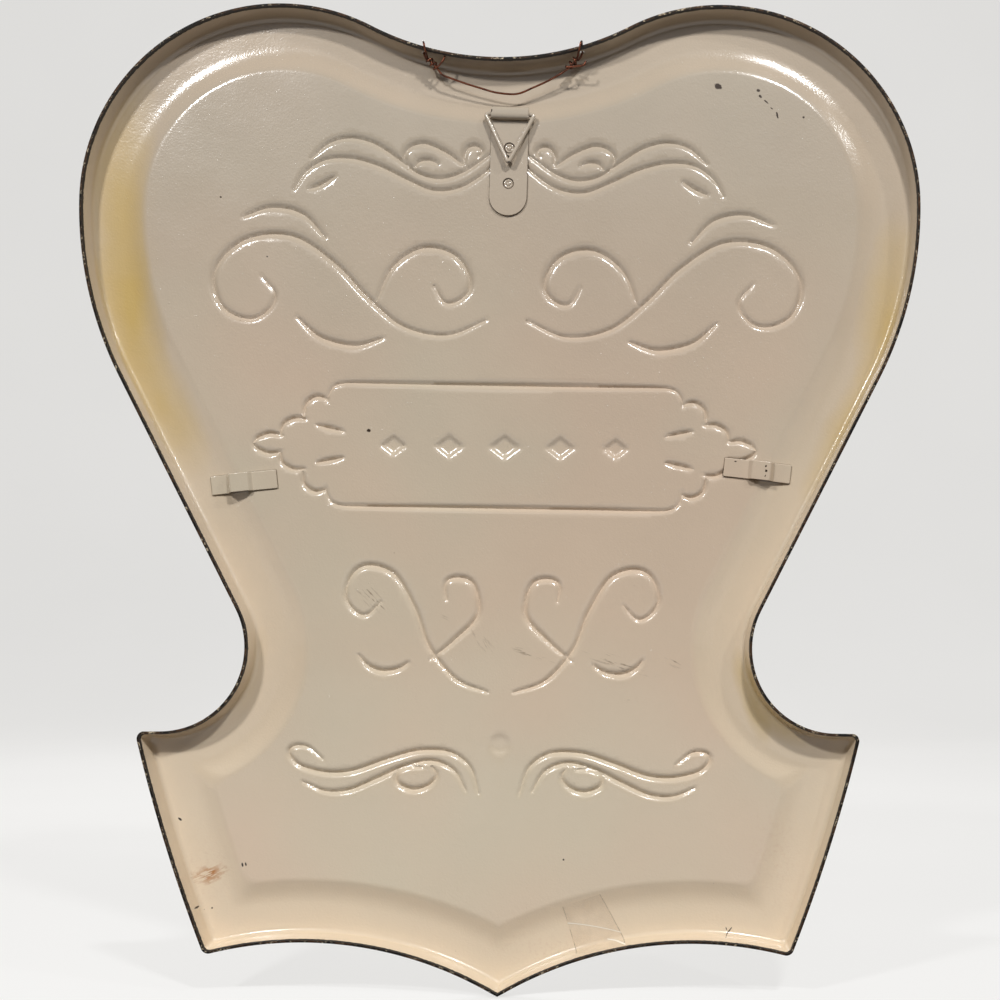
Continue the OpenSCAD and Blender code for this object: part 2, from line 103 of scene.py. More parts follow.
# Least gap of a lattice point from the valley of an embossed line and from the field's edge
LINE_CLEAR, EDGE_CLEAR = 0.55, 1.2

# Hanger, drawn round the eye in the strap's folded loop, which is the frame's origin
HANGER_TURN = 1.5
STRAP_LEN, STRAP_R, STRAP_RISE, STRAP_BACK = 50.5, 9.4, 5.0, -2.5
END_START, END_STEPS = 3, 17
LOOP_HIGH, LOOP_LOW, EYE_R, LOOP_END = 1.1, 0.45, 1.1, -112.0
WELDS = (16.6, 34.5)
WELD_R, WELD_SINK, WELD_PLAY = 2.65, 0.5, 0.05
WELD_INSETS = ((0.3, -0.3), (0.25, 0.3), (0.5, 0), (0.35, -0.25), (0.3, 0.2))
RING_HALF, RING_DROP, RING_REST, RING_BEND = 12.5, 25.6, 6.0, 2.1

# Keepers
KEEPER_INSET, KEEPER_H, KEEPER_SKEW, KEEPER_TILT = 33.8, 260.4, 6.8, 6.0
KEEPER_LEN, KEEPER_W, KEEPER_GAP = 34.0, 9.4, 2.4
KEEPER_TOP, KEEPER_RAMP, KEEPER_SHIFT = 8.6, 1.9, 1.8
KEEPER_BEND, KEEPER_ROUND = 0.5, 0.38

# Rounding of the cut edges of the sheet and the strap
EDGE_ROUND = 0.3

# Old tape: corners in the layout, clockwise as the back is seen
TAPE = ((-31.9, 43.5), (-50.9, 50.0), (-64.4, 25.0), (-38.9, 20.5))
TAPE_EDGE, TAPE_GAP = 0.025, 0.08
# Its long crease as v = a + b u + c u^2 and its short one as v = a + b (u - start), as shares of its size
LONG_CREASE, SHORT_CREASE, SHORT_START = (0.37, 0.31, 0.1), (0.858, 0.32), 0.68

# Holes in the top rim that the wire is threaded through
WIRE_HOLES, WIRE_HOLE_Y, WIRE_HOLE_R, DRILL_LEN = (38.5, -40.5), 7.5, 1.5, 12

# View: the point of the sign that the camera faces, in pixels of the 1000 pixel frame
FOOT_PX = (650.0, 625.0)
MIDDLE_PX, BOTTOM_PX = 498.3, 998.0
PX_PER_M = 2006.0
VIEW_DISTANCE = 0.788
VIEW_ROLL = -0.2
SENSOR = 36.0


def length_setting(name, description, default, low, high, precision=4):
    """A length in metres."""
    return FloatProperty(name=name, description=description, default=default, min=low, max=high,
                         unit="LENGTH", precision=precision)


def power_setting(name, description, default):
    """A lamp's power in watts."""
    return FloatProperty(name=name, description=description, default=default, min=0.0, max=100.0,
                         unit="POWER")


def colour_setting(name, description, default):
    """A colour as linear values."""
    return FloatVectorProperty(name=name, description=description, default=(*default, 1.0), size=4,
                               subtype="COLOR", min=0.0, max=1.0)


class SheetSettings(bpy.types.PropertyGroup):
    """Sizes of the pressed sheet."""

    thickness: length_setting("Thickness", "Thickness of the sheet with its coats", 0.0012, 0.0008, 0.0016)
    relief: length_setting("Relief", "Depth of the embossed lines", 0.0021, 0.0006, 0.0024)
    line_width: length_setting("Line Width", "Half width of an embossed line", 0.0027, 0.002, 0.004)
    waviness: length_setting("Waviness", "Height of the slow waves from the press", 0.00012, 0.0, 0.0005, 5)


class FittingSettings(bpy.types.PropertyGroup):
    """Sizes of the hanger, keepers and wire."""

    strap_width: length_setting("Strap Width", "Width of the hanger strap", 0.0188, 0.016, 0.019)
    strap_thickness: length_setting("Strap Thickness", "Thickness of the strap", 0.0012, 0.0008, 0.0016)
    keeper_thickness: length_setting("Keeper Thickness", "Thickness of a keeper", 0.001, 0.0008, 0.0014)
    ring_wire: length_setting("Ring Wire", "Diameter of the triangular ring's wire", 0.00215, 0.0015, 0.0022)
    wire: length_setting("Hanging Wire", "Diameter of the copper wire", 0.001, 0.0008, 0.0012)


class PaintSettings(bpy.types.PropertyGroup):
    """Colours of the coats, as linear values."""

    cream: colour_setting("Back Coat", "Colour of the cream coat on the back", (0.77, 0.665, 0.50))
    grey: colour_setting("Greyed Coat", "Colour of the back coat where it is greyer", (0.455, 0.395, 0.31))
    # Painted light: the border tint lightens the coat in the border channel, and warms it a little.
    border: FloatVectorProperty(
        name="Border Tint", description="How much brighter each colour of the coat is in the border channel",
        size=3, default=(1.11, 1.05, 1.02), min=0.5, max=1.5)
    stain: colour_setting("Yellow Stain", "Colour of the aged yellow staining", (0.56, 0.40, 0.15))
    enamel: colour_setting("Face Enamel", "Colour of the dark enamel on the face", (0.012, 0.010, 0.009))
    copper: colour_setting("Copper", "Colour of the hanging wire", (0.15, 0.05, 0.027))


class StageSettings(bpy.types.PropertyGroup):
    """Floor and lights."""

    floor: colour_setting("Floor", "Colour of the pale floor and backdrop", (0.90, 0.89, 0.87))
    glow: FloatProperty(
        name="Backdrop Glow", description="How much the floor and backdrop are lifted towards white",
        default=0.78, min=0.0, max=1.0)
    left: power_setting("Left Lamp", "Power of the lamp above the camera, left in the picture", 14.3)
    right: power_setting("Right Lamp", "Power of the higher lamp, right in the picture", 17.5)
    side: power_setting("Side Lamp", "Power of the small lamp far to the right in the picture", 4.0)
    face: power_setting("Face Light", "Power of the broad light on the display face", 14.0)
    fill: power_setting("Fill Light", "Power of the broad light behind the camera", 1.5)


# Plane geometry in millimetres

def polar(centre, radius, angle):
    """Point on a circle, with the angle in degrees."""
    a = math.radians(angle)
    return np.array([centre[0] + radius * math.cos(a), centre[1] + radius * math.sin(a)])


def arc(centre, radius, start, end, steps):
    """Points along an arc, both ends included."""
    return [polar(centre, radius, start + (end - start) * i / steps) for i in range(steps + 1)]


def direction(v):
    """Angle of a plane vector in degrees."""
    return math.degrees(math.atan2(v[1], v[0]))


def meet_left(c1, r1, c2, r2):
    """Meeting point of two circles, on the left of the way from c1 to c2."""
    d = np.linalg.norm(c2 - c1)
    u = (c2 - c1) / d
    a = (d * d + r1 * r1 - r2 * r2) / (2 * d)
    return c1 + a * u + math.sqrt(r1 * r1 - a * a) * np.array([-u[1], u[0]])


def centre_left(p, q, radius):
    """Centre of the circle through p and q, on the left of the way from p to q."""
    half = np.linalg.norm(q - p) / 2
    n = np.array([p[1] - q[1], q[0] - p[0]]) / (2 * half)
    return (p + q) / 2 + n * math.sqrt(radius * radius - half * half)


DIP_C = np.array([0.0, DIP_H + DIP_R])
LOBE_C = polar(DIP_C, DIP_R + LOBE_R, DIP_TURN - 90)
SIDE_C = polar(LOBE_C, LOBE_R - SIDE_R, SIDE_TURN)
FLANK_TOP = polar(SIDE_C, SIDE_R, -FLANK_LEAN)
FLANK_N = polar((0, 0), 1, -FLANK_LEAN)
FLANK_LEN = (FLANK_TOP[1] + COVE_R * FLANK_N[1] - COVE_H) / math.cos(math.radians(FLANK_LEAN))
FLANK_END = FLANK_TOP - FLANK_LEN * polar((0, 0), 1, 90 - FLANK_LEAN)
COVE_C = FLANK_END + COVE_R * FLANK_N
TIP = np.array([TIP_X, COVE_H - COVE_R])
LOWER_C = centre_left(np.array([CORNER_X, CORNER_H]), TIP, LOWER_R)
ARCH_C = np.array([ARCH_X, -math.sqrt(ARCH_R * ARCH_R - ARCH_X * ARCH_X)])


def tip_at(inset):
    """Corner of the shoulder on the outline moved inwards."""
    z, r = TIP[1] - inset, LOWER_R - inset
    level = np.array([LOWER_C[0] + math.sqrt(r * r - (z - LOWER_C[1]) ** 2), z])
    return level if level[0] > COVE_C[0] else meet_left(COVE_C, COVE_R + inset, LOWER_C, r)


def half_ring(inset, fillet):
    """Right half of the outline moved inwards, from the top middle to the bottom point."""
    tip = tip_at(inset + fillet)
    corner = meet_left(LOWER_C, LOWER_R - inset - fillet, ARCH_C, ARCH_R + inset + fillet)
    side_high, side_low = direction(tip - LOWER_C), direction(corner - LOWER_C)
    cove_end = 270 if tip[0] > COVE_C[0] else 360 + direction(tip - COVE_C)
    arch_start = direction(corner - ARCH_C)
    arch_end = 180 - math.degrees(math.acos(ARCH_X / (ARCH_R + inset)))
    flank = [FLANK_TOP + (FLANK_END - FLANK_TOP) * i / 30 - inset * FLANK_N for i in range(1, 30)]
    return (
        arc(DIP_C, DIP_R + inset, -90, DIP_TURN - 90, 28)
        + arc(LOBE_C, LOBE_R - inset, DIP_TURN + 90, SIDE_TURN, 76)[1:]
        + arc(SIDE_C, SIDE_R - inset, SIDE_TURN, -FLANK_LEAN, 34)[1:]
        + flank
        + arc(COVE_C, COVE_R + inset, 180 - FLANK_LEAN, cove_end, 36)
        + arc(tip, fillet, cove_end - 180, side_high, 8)[1:]
        + arc(LOWER_C, LOWER_R - inset, side_high, side_low, 44)[1:]
        + arc(corner, fillet, side_low, arch_start - 180, 8)[1:]
        + arc(ARCH_C, ARCH_R + inset, arch_start, arch_end, 56)[1:]
    )


def ring(inset, fillet):
    """Whole outline moved inwards, as an array of x and z."""
    right = half_ring(inset, fillet)
    return np.array(right + [np.array([-p[0], p[1]]) for p in right[-2:0:-1]])


def inside(points, outline):
    """Which points lie inside a closed outline."""
    x, z = points[:, 0], points[:, 1]
    result = np.zeros(len(points), bool)
    for p, q in zip(outline, np.roll(outline, -1, axis=0)):
        if p[1] == q[1]:
            continue
        crosses = (p[1] > z) != (q[1] > z)
        result ^= crosses & (x < p[0] + (q[0] - p[0]) * (z - p[1]) / (q[1] - p[1]))
    return result


def distance_to(points, line):
    """Distance of each point from a line of points, and where along the line it is nearest, 0 to 1."""
    best = np.full(len(points), 1e9)
    where = np.zeros(len(points))
    for i, (p, q) in enumerate(zip(line[:-1], line[1:])):
        way = q - p
        t = np.clip((points - p) @ way / max(way @ way, 1e-12), 0, 1)
        d = np.linalg.norm(points - p - t[:, None] * way, axis=1)
        near = d < best
        best[near] = d[near]
        where[near] = (i + t[near]) / (len(line) - 1)
    return best, where


def smooth_line(points, step=1.2):
    """Smooth curve through the points of a line, as given points x and z."""
    p = np.array(points, float)
    gaps = np.diff(p, axis=0)
    sizes = np.linalg.norm(gaps, axis=1)
    units = gaps / sizes[:, None]
    ways = np.vstack([units[:1], units[:-1] + units[1:], units[-1:]])
    ways /= np.linalg.norm(ways, axis=1)[:, None]
    ways *= np.minimum(np.append(sizes, sizes[-1]), np.insert(sizes, 0, sizes[0]))[:, None]
    result = []
    for i, size in enumerate(sizes):
        for t in np.arange(0, 1, 1 / max(1, math.ceil(size / step))):
            k = t * t * (3 - 2 * t)
            bend = t * (1 - t) * ((1 - t) * ways[i] - t * ways[i + 1])
            result.append((1 - k) * p[i] + k * p[i + 1] + bend)
    return np.array(result + [p[-1]])


# Embossed ornament: lines of one half, as distance from the middle and height

UPPER_SCROLL = [
    [(100, 2), (91, 10), (80, 12.8), (68, 10), (56, 2.5), (45, -5), (34, -7), (23, -3.5), (9.5, 5.5)],
    [(108.5, -14), (103, -5), (93, 1.5), (80, 2.5), (66, -1), (52, -7.5), (38, -13), (25, -11.5), (14, -5),
     (6, 2)],
    [(22, -1), (32, 6.2), (43, 10.6), (50, 8.8), (53, 4.6), (51, -0.5)],
    [(48, -2), (45.5, 1.3), (40.5, 2.2), (35.5, 0.2)],
    [(22.5, 0), (22.8, 5), (20.5, 9), (16.5, 9.6), (13.8, 7), (15.5, 4)],
    [(101, -13.5), (95, -11), (87.5, -6.5)],
]
LOWER_SCROLL = [
    [(89, 6.5), (98, 13), (106, 11), (102, 4), (89, 0), (75, 0.5), (58, 6.5), (41, 11.5), (25, 11), (15, 4),
     (10, -10)],
    [(99, -5), (88, -9.5), (76, -9), (62, -3), (48, 3.5), (34, 6.5), (23, 2), (16.5, -8.5)],
    [(38, 3.2), (46, 3.2), (51.8, 0.2), (51, -5), (43, -8.2), (35, -5.5), (31.5, -0.5), (34, 4)],
]
UPPER_FLOURISH = [
    [(10, -16), (30, -24), (52, -20), (70, -6), (88, 12), (110, 25), (134, 22), (148, 6), (143, -12),
     (127, -17), (117, -6), (124, 4)],
    [(66, -8), (58, 10), (42, 20), (25, 15), (19, 0), (30, -8), (37, 1)],
    [(92, 24), (104, 36), (120, 39), (134, 34)],
    [(62, -26), (76, -30), (94, -26), (106, -16)],
]
LOWER_FLOURISH = [
    [(6, -36), (22, -30), (36, -14), (44, 6), (56, 24), (72, 26), (79, 12), (70, 2), (61, 9)],
    [(36, -20), (24, -10), (12, 4), (16, 20), (28, 20), (28, 10)],
    [(46, -21), (52, -24.8), (60, -26), (67, -23.4), (72, -18)],
]
FRAME_LINE = [(90, 21), (89, 25.5), (86.5, 29.3), (81, 31), (40, 31), (0, 31), (-40, 31), (-81, 31),
              (-86.5, 29.3), (-89, 25.5), (-90, 21)]
FRAME_END = [
    [(89, 22.5), (95, 24), (100.5, 20.5), (101.5, 14)],
    [(100, 12.5), (106.5, 12.8), (112, 9.5), (113, 4.5)],
    [(112, 4), (119, 5), (125, 2.5), (127, 0)],
]
FRAME_DROPS = [[(95, 9.5), (81, 6.5)]]
UPPER_SCROLL_H, UPPER_FLOURISH_H, FRAME_H = 292.0, 230.0, 150.0
LOWER_FLOURISH_H, LOWER_SCROLL_H = 62.0, -15.5
LOZENGE_GAP, LOZENGE_WIDE, LOZENGE_HIGH, LOZENGE_SHARE = 28.0, 10, 7.5, 0.8
EMBOSS_MATRIX = np.array(Matrix.Rotation(math.radians(EMBOSS_TURN), 2))


def ornament_lines():
    """Every embossed line as its points and its share of the full line width."""
    lines = []
    groups = [(UPPER_SCROLL, UPPER_SCROLL_H, 1.0), (UPPER_FLOURISH, UPPER_FLOURISH_H, 1.05),
              (LOWER_FLOURISH, LOWER_FLOURISH_H, 1.05), (LOWER_SCROLL, LOWER_SCROLL_H, 1.0)]
    for group, height, width in groups:
        for line in group:
            for side in (-1, 1):
                lines.append(([(side * x, height + z) for x, z in line], width))
    for up in (-1, 1):
        lines.append(([(x, FRAME_H + up * z) for x, z in FRAME_LINE], 0.85))
        for line in FRAME_END + FRAME_DROPS:
            for side in (-1, 1):
                lines.append(([(side * x, FRAME_H + up * z) for x, z in line], 0.8))
    return [(smooth_line(line) @ EMBOSS_MATRIX.T + (0, DIMPLE_H), width) for line, width in lines]


def relief_at(points, line_width):
    """Depth of the embossing at each point, as a share of the full relief, and distance to it."""
    depth = np.zeros(len(points))
    nearest = np.full(len(points), 1e9)
    for line, width in ornament_lines():
        reach = line_width * width
        low, high = line.min(axis=0) - EMBOSS_REACH, line.max(axis=0) + EMBOSS_REACH
        close = np.flatnonzero(((points > low) & (points < high)).all(axis=1))
        if not len(close):
            continue
        d, where = distance_to(points[close], line)
        full = END_SHARE + (1 - END_SHARE) * np.sin(np.pi * where) ** 0.5
        u = np.clip(d / (reach * full), 0, 1)
        depth[close] = np.maximum(depth[close], full * (1 - u) ** EMBOSS_POWER)
        nearest[close] = np.minimum(nearest[close], d - reach)
    local = (points - (0, DIMPLE_H)) @ EMBOSS_MATRIX
    r = np.linalg.norm(local, axis=1)
    bowl = 0.5 + 0.5 * np.cos(np.pi * np.clip((r / DIMPLE_R - 0.45) / 0.8, 0, 1))
    depth = np.maximum(depth, DIMPLE_SHARE * bowl)
    nearest = np.minimum(nearest, r - DIMPLE_R)
    for i in range(-2, 3):
        x, z = np.abs(local[:, 0] - i * LOZENGE_GAP), np.abs(local[:, 1] - FRAME_H)
        edge = 1 - x / (LOZENGE_WIDE - abs(i)) - z / (LOZENGE_HIGH - 0.3 * i * i)
        depth = np.maximum(depth, LOZENGE_SHARE * np.clip(edge * 2.4, 0, 1) ** 1.5)
        nearest = np.minimum(nearest, -edge * 7)
    return depth, nearest


def waves_at(points, height):
    """Slow waves in the sheet, as height at each point."""
    x, z = points[:, 0], points[:, 1]
    a = np.sin(x / 23 + 1.3 * np.sin(z / 61)) * np.sin(z / 31 + 0.4)
    b = np.sin((x + z) / 47 + 0.9) + 0.6 * np.sin((z - 0.7 * x) / 17 + 2.1)
    return height * (0.6 * a + 0.4 * b)


def place(x, y, z):
    """From millimetres in the layout to metres in the frame."""
    return MIDDLE_X + x * MM, BORDER_Y + y * MM, BOTTOM_Z + z * MM


def step_y(share):
    """Height of the step for a share of its width: a slope with a wide bend and a tight one."""
    s = min(max(share, 0), 1) * STEP_W
    slope = STEP_H / (STEP_W - (STEP_SOFT + STEP_TIGHT) / 2)
    if s < STEP_SOFT:
        return slope * s * s / (2 * STEP_SOFT)
    if s < STEP_W - STEP_TIGHT:
        return slope * (s - STEP_SOFT / 2)
    return STEP_H - slope * (STEP_W - s) ** 2 / (2 * STEP_TIGHT)


def sheet_rows(thickness):
    """Rows of the back surface from the rim's edge to the field: inset, height and fillet."""
    foot = thickness + RIM_FLARE
    bend_d = foot + RIM_BEND
    wall = (0, 0.08, 0.35, 0.7)
    rows = [(thickness + RIM_FLARE * k, RIM_H + (RIM_BEND - RIM_H) * k, CORNER_FILLET) for k in wall]
    for i in range(7):
        p = polar((bend_d, RIM_BEND), RIM_BEND, 180 + 90 * i / 6)
        rows.append((p[0], p[1], CORNER_FILLET + 0.5 * i / 6))
    rows += [(bend_d + (BORDER_W - bend_d) * k, 0, 3) for k in (0.25, 0.5, 0.75)]
    shares = [*np.linspace(0, 1 - STEP_TIGHT / STEP_W, 11), *np.linspace(1 - STEP_TIGHT / STEP_W, 1, 7)[1:]]
    rows += [(BORDER_W + STEP_W * k, step_y(k), 3 + 5 * k) for k in shares]
    return rows


def back_y(inset):
    """Height of the sheet's back at a distance from the outline."""
    return step_y((inset - BORDER_W) / STEP_W)


def flank_x(height):
    """Distance of the straight flank from the middle at a height."""
    return FLANK_TOP[0] - (FLANK_TOP[1] - height) * math.tan(math.radians(FLANK_LEAN))


# Object helpers

def linked(name, data):
    """A new object with this data, in the scene."""
    piece = bpy.data.objects.new(name, data)
    bpy.context.scene.collection.objects.link(piece)
    return piece


def new_object(name, vertices, faces):
    """A mesh object at the origin from points in metres."""
    mesh = bpy.data.meshes.new(name)
    mesh.from_pydata([tuple(v) for v in vertices], [], [tuple(f) for f in faces])
    return linked(name, mesh)


@contextmanager
def editing(select=None):
    """Edit mode, with everything or nothing selected first where that is asked for."""
    bpy.ops.object.mode_set(mode="EDIT")
    if select:
        bpy.ops.mesh.select_all(action=select)
    yield
    bpy.ops.object.mode_set(mode="OBJECT")


def only(piece):
    """Makes one object the selected and active one."""
    bpy.ops.object.select_all(action="DESELECT")
    piece.select_set(True)
    bpy.context.view_layer.objects.active = piece


def apply_modifier(piece, kind, **values):
    """Adds a modifier with these values and applies it."""
    only(piece)
    modifier = piece.modifiers.new(kind.title(), kind)
    for key, value in values.items():
        setattr(modifier, key, value)
    bpy.ops.object.modifier_apply(modifier=modifier.name)


def round_edges(piece, width, segments, angle):
    """Rounds the edges that are sharper than an angle in degrees. The width is in metres."""
    apply_modifier(piece, "BEVEL", width=width, segments=segments, limit_method="ANGLE",
                   angle_limit=math.radians(angle))


def turn_and_apply(piece, degrees, axis):
    """Turns a piece about an axis through the frame's origin and applies the turn."""
    only(piece)
    bpy.ops.transform.rotate(value=-math.radians(degrees), orient_axis=axis, center_override=(0, 0, 0))
    bpy.ops.object.transform_apply()


def move_and_apply(piece, way):
    """Moves a piece and applies the move."""
    only(piece)
    bpy.ops.transform.translate(value=way)
    bpy.ops.object.transform_apply()


def strip(name, path, widths, across):
    """A strip of plane faces: an edge that is extruded along a path, wider or narrower at each point.

    path holds points in metres. across is the axis, 0 or 2, that the strip's width lies along.
    """
    bpy.ops.mesh.primitive_plane_add(size=1, location=(0, 0, 0))
    piece = bpy.context.active_object
    piece.name = name
    start = Vector(path[0])
    side = Vector([float(i == across) for i in range(3)])
    with editing():
        bpy.ops.mesh.select_mode(type="VERT")
        bpy.ops.mesh.select_all(action="DESELECT")
    for vertex in piece.data.vertices[:2]:
        vertex.select = True
    with editing():
        bpy.ops.mesh.delete(type="VERT")
    for vertex, end in zip(piece.data.vertices, (-0.5, 0.5)):
        vertex.co = start + side * widths[0] * end
    with editing("SELECT"):
        for i in range(1, len(path)):
            step = Vector(path[i]) - Vector(path[i - 1])
            bpy.ops.mesh.extrude_region_move(TRANSFORM_OT_translate={"value": step})
            if widths[i] != widths[i - 1]:
                scale = [widths[i] / widths[i - 1] if k == across else 1 for k in range(3)]
                bpy.ops.transform.resize(value=scale, center_override=path[i])
    return piece


def outward(piece):
    """Makes all faces of a piece look the same way, which is outwards where it is closed."""
    only(piece)
    with editing("SELECT"):
        bpy.ops.mesh.normals_make_consistent(inside=False)


def cut(piece, centre, radius, depth, turn):
    """Cuts a round hole through a piece. turn is the drill's turn, as Euler angles."""
    bpy.ops.mesh.primitive_cylinder_add(
        vertices=48, radius=radius, depth=depth, location=centre, rotation=turn)
    drill = bpy.context.active_object
    apply_modifier(piece, "BOOLEAN", operation="DIFFERENCE", solver="EXACT", object=drill)
    bpy.data.objects.remove(drill)


def smooth(piece, angle):
    """Smooth shading, with edges sharper than the angle left sharp."""
    only(piece)
    bpy.ops.object.shade_smooth_by_angle(angle=math.radians(angle))


def finish_piece(piece, materials, body, node, angle=None):
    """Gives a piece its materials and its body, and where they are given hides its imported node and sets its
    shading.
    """
    for coat in materials:
        piece.data.materials.append(coat)
    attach(piece, body)
    if node:
        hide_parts(node)
    if angle:
        smooth(piece, angle)


def finish_fitting(piece, name, body, node, angle=60):
    """Finishes a fitting with the back coat, worn in places of its own."""
    finish_piece(piece, [fitting_coat(name)], body, node, angle)


def finish_strap(strap, name, node):
    """Finishes a bent strap, with its large faces kept flat."""
    finish_fitting(strap, name, "sign", node, 35)
    apply_modifier(strap, "WEIGHTED_NORMAL", keep_sharp=True, weight=100)


# Material helpers. A value is a number, a tuple or the output of another node.

def feed(socket, value):
    """Links a value to an input, or sets the input to it."""
    if isinstance(value, bpy.types.NodeSocket):
        socket.id_data.links.new(value, socket)
    else:
        socket.default_value = value


def outputs_of(kind, *values, **settings):
    """Outputs of a new node in the tree of the first linked value.

    The values feed its inputs in order. A setting feeds the input that it names or sets a property.
    """
    source = next(v for v in (*values, *settings.values()) if isinstance(v, bpy.types.NodeSocket))
    made = source.id_data.nodes.new("ShaderNode" + kind)
    for key, value in settings.items():
        if key not in made.inputs:
            setattr(made, key, value)
    named = [(key, value) for key, value in settings.items() if key in made.inputs]
    for key, value in [*enumerate(values), *named]:
        feed(made.inputs[key], value)
    return made.outputs


def maths(operation, a, b, clamp=False):
    """A Math node's value."""
    return outputs_of("Math", a, b, operation=operation, use_clamp=clamp)[0]


def times(product, *factors):
    """The product of several values."""
    for factor in factors:
        product = maths("MULTIPLY", product, factor)
    return product


def larger(a, b):
    """The larger of two values."""
    return maths("MAXIMUM", a, b)


def without(mask):
    """1 less a mask."""
    return maths("SUBTRACT", 1.0, mask)


def vector_maths(operation, a, b=(0, 0, 0)):
    """A Vector Math node's vector, or its value for a length."""
    return outputs_of("VectorMath", a, b, operation=operation)["Value" if operation == "LENGTH" else "Vector"]


def turned(at, angle):
    """A vector turned about the Y axis."""
    return outputs_of("VectorRotate", at, rotation_type="Y_AXIS", Angle=angle)["Vector"]


def mix(factor, a, b):
    """A colour between a and b."""
    made = factor.id_data.nodes.new("ShaderNodeMix")
    made.data_type = "RGBA"
    for index, value in ((0, factor), (6, a), (7, b)):
        feed(made.inputs[index], value)
    return made.outputs[2]


def remap(value, *ends):
    """A value moved from one range to another, which is 0 to 1 where it isn't given, and clamped."""
    return outputs_of("MapRange", value, *ends)["Result"]


def noise(at, scale, detail=3.0, rough=0.5):
    """A noise value about 0.5."""
    return outputs_of("TexNoise", at, Scale=scale, Detail=detail, Roughness=rough)["Fac"]


def attribute(at, name):
    """A mesh attribute's value, in the tree of the coordinates."""
    made = at.id_data.nodes.new("ShaderNodeAttribute")
    made.attribute_name = name
    return made.outputs["Fac"]


def group(name, inputs, outputs):
    """A new node group with its inputs and outputs. inputs holds each one's default value."""
    tree = bpy.data.node_groups.new(name, "ShaderNodeTree")
    for label, default in inputs.items():
        kind = "NodeSocketVector" if isinstance(default, tuple) else "NodeSocketFloat"
        socket = tree.interface.new_socket(name=label, in_out="INPUT", socket_type=kind)
        socket.default_value = default
    for label in outputs:
        tree.interface.new_socket(name=label, in_out="OUTPUT", socket_type="NodeSocketFloat")
    return tree, tree.nodes.new("NodeGroupInput").outputs, tree.nodes.new("NodeGroupOutput").inputs


def use(name, build, *values):
    """Outputs of a group's node, with its inputs in order. The group is built at its first use."""
    return outputs_of("Group", *values, node_tree=bpy.data.node_groups.get(name) or build())


def about_centre(given):
    """A group's vector, measured from its centre and turned."""
    return turned(vector_maths("SUBTRACT", given["Vector"], given["Centre"]), given["Turn"])


def spot_group():
    """Soft ragged spot: 1 at its centre, 0 outside."""
    tree, given, out = group("Soft Spot", {
        "Vector": (0, 0, 0), "Centre": (0, 0, 0), "Size": (0.01, 1, 0.01), "Turn": 0.0, "Ragged": 0.3,
        "Grain": 60.0, "Softness": 0.6}, ["Mask"])
    reach = vector_maths("LENGTH", vector_maths("DIVIDE", about_centre(given), given["Size"]))
    speckle = maths("SUBTRACT", noise(given["Vector"], given["Grain"], 4), 0.5)
    reach = maths("ADD", reach, times(speckle, given["Ragged"], 4))
    feed(out["Mask"], maths("DIVIDE", without(reach), given["Softness"], clamp=True))
    return tree


def spot(at, centre, size, turn=0.0, ragged=0.3, grain=60.0, softness=0.6):
    """One soft spot, with its centre in the layout and its size in millimetres."""
    values = place(*centre), [s * MM for s in size], math.radians(turn), ragged, grain, softness
    return use("Soft Spot", spot_group, at, *values)["Mask"]


def skin_group():
    """Uneven gloss paint: orange peel, dust nibs, tone and roughness."""
    tree, given, out = group("Paint Skin", {"Vector": (0, 0, 0), "Peel": 1.0}, ["Height", "Tone", "Rough"])
    at = given["Vector"]
    nibs = remap(noise(at, 900, 2, 0.6), 0.70, 0.78)
    height = times(noise(at, 1000, 2), given["Peel"])
    for value, share in ((nibs, 1.5), (noise(at, 60, 2), 2.0), (noise(at, 320, 2, 0.6), 0.5)):
        height = maths("ADD", height, times(value, share))
    feed(out["Height"], height)
    feed(out["Tone"], noise(at, 9, 5))
    feed(out["Rough"], remap(noise(at, 30, 5), 0.3, 0.7, 0.13, 0.24))
    return tree


def skin(at, peel=1.0):
    """One use of the uneven paint skin."""
    return use("Paint Skin", skin_group, at, peel)


def seam_group():
    """Dark line of dirt and painted shade round a fitting: 1 at the edge of a rounded box, 0 outside."""
    tree, given, out = group("Seam Line", {
        "Vector": (0, 0, 0), "Centre": (0, 0, 0), "Half": (0.01, 0.01, 0.01), "Turn": 0.0,
        "Radius": 0.001, "Width": 0.0005}, ["Mask"])
    beyond = vector_maths("ABSOLUTE", about_centre(given))
    for operation, other in (("SUBTRACT", given["Half"]), ("MAXIMUM", (0, -1, 0)), ("MULTIPLY", (1, 0, 1))):
        beyond = vector_maths(operation, beyond, other)
    gap = maths("SUBTRACT", vector_maths("LENGTH", beyond), given["Radius"])
    feed(out["Mask"], maths("SUBTRACT", 1.0, maths("DIVIDE", gap, given["Width"]), clamp=True))
    return tree


def seam(at, centre, half, radius, turn, width=0.5):
    """One line of dirt and painted shade round a rounded box in the sheet's plane, with lengths in
    millimetres.
    """
    values = centre, [h * MM for h in half], math.radians(turn), radius * MM, width * MM
    return use("Seam Line", seam_group, at, *values)["Mask"]


def material(name):
    """A new material with its Principled shader's inputs and its Object coordinates."""
    made = bpy.data.materials.new(name)
    made.use_nodes = True
    nodes = made.node_tree.nodes
    return made, nodes["Principled BSDF"].inputs, nodes.new("ShaderNodeTexCoord").outputs["Object"]


def dress(shader, height, strength, distance=0.0002, **values):
    """Feeds a shader's normal from a height, and the inputs that the values name, with _ for a space."""
    values["Normal"] = outputs_of("Bump", Height=height, Strength=strength, Distance=distance)["Normal"]
    for key, value in values.items():
        feed(shader[key.replace("_", " ")], value)


def streaks(at, turn, scale=900.0, stretch=0.12, low=0.56, high=0.63):
    """Fine parallel scratches that run at an angle in degrees."""
    drawn = vector_maths("MULTIPLY", turned(at, math.radians(turn)), (stretch, 1, 1))
    return remap(noise(drawn, scale, 3, 0.6), low, high)


